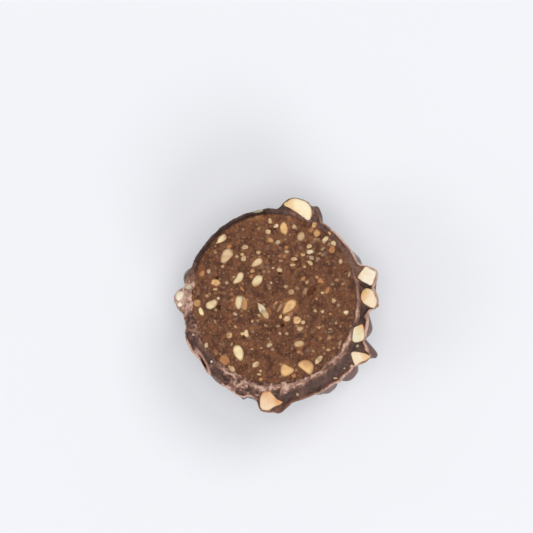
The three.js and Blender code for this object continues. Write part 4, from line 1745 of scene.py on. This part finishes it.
@dataclass(frozen=True)
class Coating:
    """The chocolate shell: a lumpy satin dome, a knife-cut rim and an inner wall hidden by the paste.

    Attributes:
        lump_steps: Steps of the sequences that vary a lump's angle, drop, size and turn.
        noise_radius: Radius at which noise over directions has its true size.
        blend_power: Power in which lumps add up; more makes sharper seams.
    """

    form: BallForm
    columns: int = 800
    dome_rows: int = 72
    row_crowding: float = 1.5
    foot: float = 18.3
    wall_drops: tuple[float, ...] = (3.0, 12.0, 30.0, 60.0)
    wall_inset: float = 0.6
    dome_lumps: int = 48
    lump_drops: Point = (14.0, 68.0)
    lump_steps: tuple[float, ...] = (0.755, 0.57, 0.618, 0.382)
    angle_stray: float = 30.0
    drop_stray: float = 8.0
    notches: tuple[Notch, ...] = (Notch(-126.5, 4.0, 0.9), Notch(-102.5, 4.5, 0.7))
    notch_depth: float = 1.3
    shoulder: tuple[Lump, ...] = (
        Lump(64, 6, 1.9, 2.6, 1.1, 20, 2.6, 3.0), Lump(-43.5, 9, 2.2, 2.7, 1.1, -30, 2.6, 3.0),
        Lump(-57, 10, 1.3, 2.5, 1.2, 30, 2.8, 3.0), Lump(-29, 3, 3.7, 2.0), Lump(66, 3, 2.4, 2.6),
        Lump(165, 7, 1.3, 2.8), Lump(-128, 3, 0.7, 3.4), Lump(-18, 5, 1.3, 3.2, 1.1),
        Lump(-87, 2, 1.9, 3.0, 1.0, 0, 2.4), Lump(180, 2, 2.0, 3.4), Lump(-152, 2, 0.8, 4.5),
        Lump(-47, 0, 0.8, 5.0), Lump(6.5, 2, 1.9, 2.6), Lump(-106.4, 1, 0.7, 0.9),
    )
    noise_radius: float = 19.0
    chip_wave: Wave = Wave(1.0, 1.1, Seed.EDGE_CHIP)
    chip_stray: float = 0.5
    chip_height: float = 0.08
    warp: float = 0.04
    warp_size: float = 4.0
    blend_power: int = 4
    jacket_points: int = 240
    jacket_step: float = 0.8
    jacket_blur: int = 70
    jacket_sag: float = 0.2
    jacket_fall: Point = (0.5, 1.9)
    waves: tuple[Wave, ...] = (Wave(0.2, 7.0, Seed.DOME_WAVE), Wave(0.07, 3.0, Seed.DOME_RIPPLE))
    wave_span: Point = (2.0, 6.0)
    ripple: Wave = Wave(0.02, 1.1, Seed.DOME_FINE)
    rag: tuple[Wave, ...] = (Wave(0.45, 1.7, Seed.EDGE_RAG), Wave(0.25, 0.6, Seed.EDGE_TOOTH))
    rag_depth: float = 0.8
    painted_sheen_span: Point = (9.0, 0.5)
    painted_sheen_wave: Wave = Wave(0.6, 2.5, Seed.DOME_PAINTED_SHEEN)
    lip_depth: float = 0.5
    tip_span: Point = (0.75, 1.0)

    def lumps(self) -> list[Lump]:
        """The shoulder's lumps and those of the dome, whose kinds take turns on a golden-angle spiral.

        Returns:
            All lumps.
        """
        golden = HALF_TURN * (3 - math.sqrt(5))
        kinds = list(LumpKind)
        lumps = list(self.shoulder)
        for number in range(self.dome_lumps):
            low, high, short, long, stretch = kinds[number % len(kinds)].value
            stray, slip, size, turn = (number * step % 1 for step in self.lump_steps)
            drop = math.degrees(math.asin((number + 0.5) / self.dome_lumps))
            drop += self.drop_stray * (slip - 0.5)
            angle = number * golden + self.angle_stray * (stray - 0.5)
            if self.lump_drops[0] <= drop <= self.lump_drops[1]:
                height, reach = low + (high - low) * size, short + (long - short) * turn
                lumps.append(Lump(angle, drop, height, reach, stretch, FULL_TURN * turn, 2.0 + size))
        return lumps

    def jacket(self, nut: NutPiece, angles: Array, even: Array) -> Array:
        """How far the chocolate over a rim nut stands out of the even coat.

        Args:
            nut: The piece in the rim.
            angles: Angle of each column.
            even: Radius of the even coat at each column.

        Returns:
            One rise for each column.
        """
        ring = nut.outline(self.jacket_points)
        ring_angle = np.degrees(np.arctan2(ring[:, 1], ring[:, 0]))
        ring_radius = np.hypot(ring[:, 0], ring[:, 1])
        near = np.abs(apart(angles[:, None], ring_angle[None])) < self.jacket_step
        outer = np.max(np.where(near, ring_radius[None], 0), axis=1)
        rise = np.clip(outer + nut.cover - even, 0, None)
        reach = len(angles) // self.jacket_blur
        kernel = bell(np.arange(-reach, reach + 1), reach / 2)
        padded = np.concatenate((rise[-reach:], rise, rise[:reach]))
        return np.maximum(rise - self.jacket_sag, np.convolve(padded, kernel / kernel.sum(), "valid"))

    def outside(self, angles: Array, rows: Array) -> tuple[Array, Array]:
        """Points of the dome and how near the top of a lump each is.

        Args:
            angles: Angle of each column.
            rows: Share of the way from the cut edge to the foot, for each row.

        Returns:
            Array of rows, columns and coordinates, and an array of rows and columns.
        """
        quality = rim_qualities(angles)
        first = self._edge_drops(angles, quality)
        drops = first[None] + (POLE - first)[None] * rows[:, None]
        ways = directions(angles[None, :], drops)
        depth = self.form.coat(ways) * np.sin(np.radians(drops))
        radius, tips = self._lumped(angles, ways, depth)
        ball = ways * radius[..., None]
        waves = sum(wave.at(ball) for wave in self.waves)
        radius = radius + waves * (1 + ease(*self.wave_span, depth)) + self.ripple.at(ball)
        rag = quality["rough"] * bell(depth, self.rag_depth)
        radius = radius + rag * sum(wave.at(ways * self.noise_radius) for wave in self.rag)
        for notch in self.notches:
            bite = notch.bite * bell(apart(angles, notch.angle), notch.width)
            radius = radius - bite[None] * bell(depth, self.notch_depth)
        points = ways * radius[..., None]
        points[..., 2] = np.maximum(points[..., 2], -self.foot)
        return points, tips

    def _edge_drops(self, angles: Array, quality: dict[str, Array]) -> Array:
        """How far the outer edge lies below the cut face, more where no lip was left.

        Args:
            angles: Angle of each column.
            quality: Qualities of the cut at each column.

        Returns:
            One angle below the cut face for each column.
        """
        level = directions(angles, 0.0)
        chips = self.chip_wave.at(level * self.noise_radius)
        bare = np.clip(1 - quality["lip"], 0, 1)
        drop = quality["recess"] * bare * (1 + self.chip_stray * chips)
        drop = drop + self.chip_height * quality["rough"] * np.abs(chips)
        return np.degrees(drop / self.form.coat(level))

    def _lumped(self, angles: Array, ways: Array, depth: Array) -> tuple[Array, Array]:
        """Adds the lumps and the chocolate over the rim nuts to the even coat.

        Args:
            angles: Angle of each column.
            ways: Direction of each point.
            depth: Depth of each point below the cut face.

        Returns:
            Radius of each point, and how near the top of a lump it is.
        """
        even = self.form.coat(ways)
        bend = swirl_vectors(ways * self.noise_radius, self.warp_size, Seed.LUMP_WARP)
        bent = ways + self.warp * bend
        bent /= np.linalg.norm(bent, axis=-1, keepdims=True)
        total = np.zeros_like(even)
        tips = np.zeros_like(even)
        for lump in self.lumps():
            rise = lump.rise(bent, even)
            total += rise**self.blend_power
            tips = np.maximum(tips, rise / lump.height)
        level = self.form.coat(directions(angles, 0.0))
        for nut in RIM_NUTS:
            start, end = (share * nut.depth for share in self.jacket_fall)
            jacket = self.jacket(nut, angles, level)[None] * (1 - ease(start, end, depth))
            total += jacket**self.blend_power
        return even + total ** (1 / self.blend_power), tips

    def build(self) -> None:
        """Makes the coating."""
        angles = round_angles(self.columns)
        rows = np.linspace(1, 0, self.dome_rows + 1)[1:] ** self.row_crowding
        dome, tips = self.outside(angles, rows)
        cut = CutRim(self.form, dome[-1], angles)
        ways = directions(angles[None], np.array(self.wall_drops)[:, None])
        wall = ways * (self.form.paste(ways) - self.wall_inset)[..., None]
        outer_pole = np.array((0, 0, -self.foot))
        inner_pole = np.array((0, 0, self.wall_inset - self.form.paste_radius))
        surface = Surface.loft(np.concatenate((dome, cut.points(), wall)), outer_pole, inner_pole)
        pale = cut.pale()
        below = -dome[..., 2]
        # Painted sheen just below the edge, strongest on the right and lower right, patchy by a noise.
        painted_sheen = rim_qualities(angles)["painted_sheen"] * ease(*self.painted_sheen_span, below)
        layers = {
            "pale": (pale[0] * ease(self.lip_depth, 0.0, below - below[-1]), pale),
            "painted_sheen": (painted_sheen * (1 + self.painted_sheen_wave.at(dome)), np.zeros_like(pale)),
            "cut": (np.zeros_like(tips), np.ones_like(pale)),
            "tip": (ease(*self.tip_span, tips), np.zeros_like(pale)),
        }
        hidden = np.zeros(wall[..., 0].size + 2)
        for name, (on_dome, on_rim) in layers.items():
            surface.values[name] = np.concatenate((on_dome.ravel(), on_rim.ravel(), hidden))
        seat(surface.to_object("chocolate_coating", ChocolateFinish().material()), Slot.COATING, "coating")


class Strewn(Enum):
    """What a scatter strews: lumps that lie as they fell, flecks and rings that follow the surface."""

    LUMP = "lump"
    FLECK = "fleck"
    RING = "ring"


@dataclass(frozen=True)
class Scatter:
    """A Geometry Nodes tree that strews small uneven pieces over a guide surface."""

    FLOAT_LEAST = 2
    FLOAT_MOST = 3
    FLOAT_RESULT = 1

    name: str
    kind: Strewn
    spacing: float
    least: float
    most: float
    flat: float
    seed: int
    narrow: float = 0.75
    variants: int = 4
    variant_step: int = 3
    lump_radius: float = 0.5
    lump_detail: int = 2
    lump_dent: float = 0.95
    ring_curves: tuple[tuple[float, int], ...] = ((0.4, 14), (0.11, 6))
    ring_dent: float = 0.5
    dents: float = 1.3
    lean: float = 0.5
    density: float = 1e9

    def tree(self) -> tuple[bpy.types.NodeTree, dict[str, str]]:
        """Builds the node tree.

        Returns:
            The tree, and the identifier of each named input.
        """
        nodes = Nodes(bpy.data.node_groups.new(self.name, "GeometryNodeTree"))
        kinds = {
            "Guide": "Geometry", "Spacing": "Float", "Least": "Float", "Most": "Float", "Flat": "Float",
            "Seed": "Int", "Finish": "Material",
        }
        identifiers = {}
        for key, kind in kinds.items():
            socket = nodes.tree.interface.new_socket(key, in_out="INPUT", socket_type=f"NodeSocket{kind}")
            identifiers[key] = socket.identifier
        nodes.tree.interface.new_socket("Pieces", in_out="OUTPUT", socket_type="NodeSocketGeometry")
        source = nodes.add("NodeGroupInput", {})
        spread = self._spread(nodes, source)
        tone = nodes.add("FunctionNodeRandomValue", {"Seed": source["Seed"]}, data_type="FLOAT")
        store = nodes.add(
            "GeometryNodeStoreNamedAttribute",
            {"Name": "share", "Geometry": spread, "Value": tone[self.FLOAT_RESULT]},
            data_type="FLOAT", domain="INSTANCE",
        )
        real = nodes.add("GeometryNodeRealizeInstances", {"Geometry": store["Geometry"]})
        finish = {"Geometry": real["Geometry"], "Material": source["Finish"]}
        dressed = nodes.add("GeometryNodeSetMaterial", finish)
        nodes.add("NodeGroupOutput", {"Pieces": dressed["Geometry"]})
        return nodes.tree, identifiers

    def _spread(self, nodes: Nodes, source: Outputs) -> Socket:
        """Puts a shape on each place, as dense as the guide says.

        Args:
            nodes: Tree to add them to.
            source: The tree's inputs.

        Returns:
            The pieces as instances.
        """
        share = nodes.add("GeometryNodeInputNamedAttribute", {"Name": "density"}, data_type="FLOAT")
        places = nodes.add(
            "GeometryNodeDistributePointsOnFaces",
            {"Mesh": source["Guide"], "Distance Min": source["Spacing"], "Density Max": self.density,
             "Density Factor": share["Attribute"], "Seed": source["Seed"]},
            distribute_method="POISSON",
        )
        turn = places["Rotation"]
        if self.kind is Strewn.LUMP:
            ends = {0: (-self.lean, -self.lean, 0.0), 1: (self.lean, self.lean, 2 * math.pi)}
            seeded = {**ends, "Seed": source["Seed"]}
            turn = nodes.add("FunctionNodeRandomValue", seeded, data_type="FLOAT_VECTOR")["Value"]
        pieces = nodes.add(
            "GeometryNodeInstanceOnPoints",
            {"Points": places["Points"], "Instance": self._shapes(nodes), "Pick Instance": True,
             "Rotation": turn, "Scale": self._size(nodes, source)},
        )
        return pieces["Instances"]

    def _shapes(self, nodes: Nodes) -> Socket:
        """Adds the shapes to choose from, about a millimetre across before they are sized.

        Args:
            nodes: Tree to add them to.

        Returns:
            The shapes as instances.
        """
        together = nodes.tree.nodes.new("GeometryNodeGeometryToInstance")
        for variant in range(self.variants):
            nodes.tree.links.new(self._shape(nodes, variant), together.inputs["Geometry"])
        return together.outputs["Instances"]

    def _shape(self, nodes: Nodes, variant: int) -> Socket:
        """Adds an uneven lump, or the uneven edge of a burst bubble.

        Args:
            nodes: Tree to add it to.
            variant: Number of the shape, which sets its dents.

        Returns:
            The shape as a mesh.
        """
        if self.kind is not Strewn.RING:
            size = {"Radius": self.lump_radius * MM, "Subdivisions": self.lump_detail}
            ball = nodes.add("GeometryNodeMeshIcoSphere", size)["Mesh"]
            return self._dented(nodes, ball, variant, self.lump_dent)
        sizes = [{"Radius": radius * MM, "Resolution": count} for radius, count in self.ring_curves]
        line, section = (nodes.add("GeometryNodeCurvePrimitiveCircle", size)["Curve"] for size in sizes)
        curves = {"Curve": self._dented(nodes, line, variant, self.ring_dent), "Profile Curve": section}
        return nodes.add("GeometryNodeCurveToMesh", curves)["Mesh"]

    def _dented(self, nodes: Nodes, shape: Socket, variant: int, depth: float) -> Socket:
        """Pushes the points of a shape about by a noise.

        Args:
            nodes: Tree that holds the shape.
            shape: Mesh or curve to push about.
            variant: Number of the shape, which sets its dents.
            depth: Range of the push.

        Returns:
            The shape with its dents.
        """
        place = float(variant * self.variant_step + self.seed)
        waves = {"W": place, "Scale": self.dents / MM, "Detail": 1.0}
        dents = nodes.add("ShaderNodeTexNoise", waves, noise_dimensions="4D")
        either_way = {0: dents["Color"], 1: (0.5, 0.5, 0.5)}
        around = nodes.add("ShaderNodeVectorMath", either_way, operation="SUBTRACT")
        sized = {0: around["Vector"], "Scale": depth * MM}
        push = nodes.add("ShaderNodeVectorMath", sized, operation="SCALE")
        return nodes.add("GeometryNodeSetPosition", {"Geometry": shape, "Offset": push["Vector"]})["Geometry"]

    def _size(self, nodes: Nodes, source: Outputs) -> Socket:
        """Draws each piece's size and flattens it.

        Args:
            nodes: Tree to add the size to.
            source: The tree's inputs.

        Returns:
            The size of each piece along its axes.
        """
        limits = {self.FLOAT_LEAST: source["Least"], self.FLOAT_MOST: source["Most"], "Seed": source["Seed"]}
        size = nodes.add("FunctionNodeRandomValue", limits, data_type="FLOAT")
        width = 1.0 if self.kind is Strewn.RING else self.narrow
        shape = nodes.add("ShaderNodeCombineXYZ", {"X": 1.0, "Y": width, "Z": source["Flat"]})
        sized = {0: shape["Vector"], "Scale": size[self.FLOAT_RESULT]}
        return nodes.add("ShaderNodeVectorMath", sized, operation="SCALE")["Vector"]

    def build(self, guide: Surface, finish: GritFinish, slot: Slot) -> None:
        """Strews the pieces over a guide and keeps them as one plain mesh.

        Args:
            guide: Surface with a density from 0 to 1 at each point.
            finish: Finish of the pieces.
            slot: Material slot that they belong to.
        """
        material = finish.material()
        piece = guide.to_object(self.name, material)
        tree, identifiers = self.tree()
        modifier = piece.modifiers.new("strew", "NODES")
        modifier.node_group = tree
        values = {
            "Spacing": self.spacing * MM, "Least": self.least, "Most": self.most, "Flat": self.flat,
            "Seed": self.seed, "Finish": material,
        }
        for key, value in values.items():
            modifier[identifiers[key]] = value
        graph = bpy.context.evaluated_depsgraph_get()
        strewn = bpy.data.meshes.new_from_object(piece.evaluated_get(graph))
        piece.modifiers.remove(modifier)
        piece.data = strewn
        strewn.name = self.name
        strewn.shade_smooth()
        seat(piece, slot)


@dataclass(frozen=True)
class Strewing:
    """Grains in the paste, crumbs on the cut rim, and burst bubbles and nut flecks on the dome."""

    filling: Filling
    coating: Coating
    grain: GritFinish = GritFinish(
        "ground_hazelnut", srgb(170, 134, 96), srgb(120, 78, 50), roughness=0.5, softness=0.2,
    )
    crumb: GritFinish = GritFinish("chocolate_crumb", srgb(118, 88, 76), srgb(208, 170, 152))
    bubble: GritFinish = GritFinish("bubble_edge", srgb(92, 65, 55), srgb(156, 118, 101))
    fleck: GritFinish = GritFinish("nut_fleck", srgb(140, 103, 85), srgb(216, 172, 146))
    paste_cells: int = 120
    paste_share: float = 0.985
    paste_sink: float = 0.14
    grain_density: Point = (0.12, 0.36)
    grain_wave: Wave = Wave(1.0, 4.0, Seed.GRAIN_CLUSTER)
    grain_span: Point = (-0.3, 0.5)
    bit_span: Point = (1.1, 1.5)
    rim_columns: int = 360
    rim_clear: int = 5
    crumb_density: float = 0.7
    crumb_start: float = 0.3
    nut_clear: float = 1.1
    dome_columns: int = 180
    dome_rows: tuple[float, float, int] = (0.7, 0.03, 40)
    dome_wave: Wave = Wave(1.0, 6.0, Seed.FLECK_CLUSTER)
    dome_span: Point = (-0.1, 0.5)
    bubbles: float = 0.018
    flecks: float = 0.04
    foot_clearance: float = 1.0

    def build(self) -> None:
        """Strews all four."""
        grains = Scatter("paste_grains", Strewn.LUMP, spacing=1.0, least=0.35, most=0.95, flat=0.5, seed=5)
        grains.build(self._paste_guide(), self.grain, Slot.HAZELNUT)
        crumbs = Scatter("rim_crumbs", Strewn.LUMP, spacing=0.6, least=0.3, most=1.0, flat=0.45, seed=8)
        crumbs.build(self._rim_guide(), self.crumb, Slot.COATING)
        bubbles = Scatter("dome_bubbles", Strewn.RING, spacing=0.9, least=0.35, most=0.95, flat=0.5, seed=4)
        bubbles.build(self._dome_guide(self.bubbles), self.bubble, Slot.COATING)
        flecks = Scatter("dome_flecks", Strewn.FLECK, spacing=0.6, least=0.25, most=0.85, flat=0.35, seed=6)
        flecks.build(self._dome_guide(self.flecks), self.fleck, Slot.COATING)

    def _paste_guide(self) -> Surface:
        """The cut face, a little below its relief, with more grains in some places.

        Returns:
            The surface with its density.
        """
        grid = self.filling.disc(self.paste_cells)
        points = grid.reshape(-1, 3) * (self.paste_share, self.paste_share, 1)
        points[:, 2] = self.filling.height(points) - self.paste_sink
        least, more = self.grain_density
        density = least + more * ease(*self.grain_span, self.grain_wave.at(points))
        for bit in NUT_BITS:
            density = density * ease(*self.bit_span, bit.share(points))
        return Surface(points, sheet_faces(numbered(*grid.shape[:2])), {"density": density})

    def _rim_guide(self) -> Surface:
        """A ribbon along the cut coating, dense where it crumbled.

        Returns:
            The surface with its density.
        """
        angles = round_angles(self.rim_columns)
        dome, _ = self.coating.outside(angles, np.zeros(1))
        cut = CutRim(self.coating.form, dome[-1], angles)
        rim = cut.points()
        density = self.crumb_density * np.clip(cut.pale() - self.crumb_start, 0, 1) * cut.rough
        density[: self.rim_clear] = 0
        for nut in RIM_NUTS:
            density = np.where(nut.share(rim) < self.nut_clear, 0, density)
        faces = ring_faces(numbered(*rim.shape[:2]))
        return Surface(rim.reshape(-1, 3), faces, {"density": density.ravel()})

    def _dome_guide(self, most: float) -> Surface:
        """The dome, with room for flecks in clusters and none on the foot.

        Args:
            most: Density in the middle of a cluster.

        Returns:
            The surface with its density.
        """
        dome, _ = self.coating.outside(round_angles(self.dome_columns), np.linspace(*self.dome_rows))
        clear = dome[..., 2] > self.foot_clearance - self.coating.foot
        density = most * ease(*self.dome_span, self.dome_wave.at(dome)) * clear
        faces = ring_faces(numbered(*dome.shape[:2]))
        return Surface(dome.reshape(-1, 3), faces, {"density": density.ravel()})


@dataclass(frozen=True)
class Window:
    """A broad soft light far away; its spread is the angle that it fills, seen from the ball."""

    name: str
    elevation: float
    angle: float
    spread: float
    strength: float
    colour: Triple

    def build(self) -> None:
        """Adds the light."""
        lamp = bpy.data.lights.new(self.name, "SUN")
        lamp.angle = math.radians(self.spread)
        lamp.energy = self.strength
        lamp.color = self.colour
        light = bpy.data.objects.new(self.name, lamp)
        towards = Vector(directions(self.angle, -self.elevation))
        light.rotation_euler = towards.to_track_quat("Z", "Y").to_euler()
        bpy.context.scene.collection.objects.link(light)


@dataclass(frozen=True)
class Studio:
    """Pale table, soft light and a camera that leans a little as it looks down on the cut face.

    The middle of the cut face lies on face_pixel of the photo, where a pixel is pixel_size wide.
    """

    image_side: int = 533
    face_pixel: Point = (273.5, 298.5)
    pixel_size: float = 0.2024
    lens: float = 100.0
    sensor: float = 36.0
    clip_start: float = 10.0
    lean: float = 7.0
    lean_angle: float = -45.0
    table_side: float = 6000.0
    sky: Colour = (0.98, 0.985, 1.0, 1.0)
    sky_strength: float = 0.34
    windows: tuple[Window, ...] = (
        Window("key_window", 52.0, 45.0, spread=30.0, strength=0.7, colour=(1.0, 0.985, 0.96)),
        Window("roof_window", 80.0, -60.0, spread=40.0, strength=0.95, colour=(1.0, 0.995, 0.985)),
        Window("left_window", 34.0, 195.0, spread=30.0, strength=0.42, colour=(0.98, 0.99, 1.0)),
        Window("front_window", 34.0, -65.0, spread=30.0, strength=0.8, colour=(0.98, 0.99, 1.0)),
    )

    def build(self) -> None:
        """Sets the stage."""
        self._table()
        for window in self.windows:
            window.build()
        world = bpy.data.worlds.new("studio")
        world.use_nodes = True
        background = world.node_tree.nodes["Background"]
        background.inputs["Color"].default_value = self.sky
        background.inputs["Strength"].default_value = self.sky_strength
        bpy.context.scene.world = world
        bpy.context.scene.view_settings.view_transform = "Standard"
        self._camera()

    def _table(self) -> None:
        """Adds the table top."""
        half = self.table_side / 2
        corners = np.array(((-half, -half), (half, -half), (half, half), (-half, half)))
        points = np.column_stack((corners, np.full(len(corners), -CUT_LEVEL)))
        Surface(points, [[0, 1, 2, 3]]).to_object("table", TableFinish().material())

    def _camera(self) -> None:
        """Adds the camera, so that the cut face lies where the photo has it."""
        back = Vector(directions(self.lean_angle, self.lean - POLE))
        up = (Vector((0, 1, 0)) - back * back.y).normalized()
        right = up.cross(back)
        distance = self.image_side * self.pixel_size * MM * self.lens / self.sensor
        across, below = ((pixel - self.image_side / 2) * self.pixel_size * MM for pixel in self.face_pixel)
        aim = Vector((0, 0, CUT_LEVEL * MM)) - right * across + up * below
        data = bpy.data.cameras.new("camera")
        data.lens = self.lens
        data.sensor_width = self.sensor
        data.clip_start = self.clip_start * MM
        camera = bpy.data.objects.new("camera", data)
        turn = Matrix((right, up, back)).transposed().to_4x4()
        camera.matrix_world = Matrix.Translation(aim + back * distance) @ turn
        bpy.context.scene.collection.objects.link(camera)
        bpy.context.scene.camera = camera


def main() -> None:
    """Builds the half ball and its studio."""
    logging.basicConfig(level=logging.INFO, format="%(message)s")
    form = BallForm()
    filling = Filling(form)
    coating = Coating(form)
    filling.build()
    NutBits().build(filling)
    coating.build()
    HazelnutPieces().build()
    Strewing(filling, coating).build()
    Studio().build()


if __name__ == "__main__":
    main()
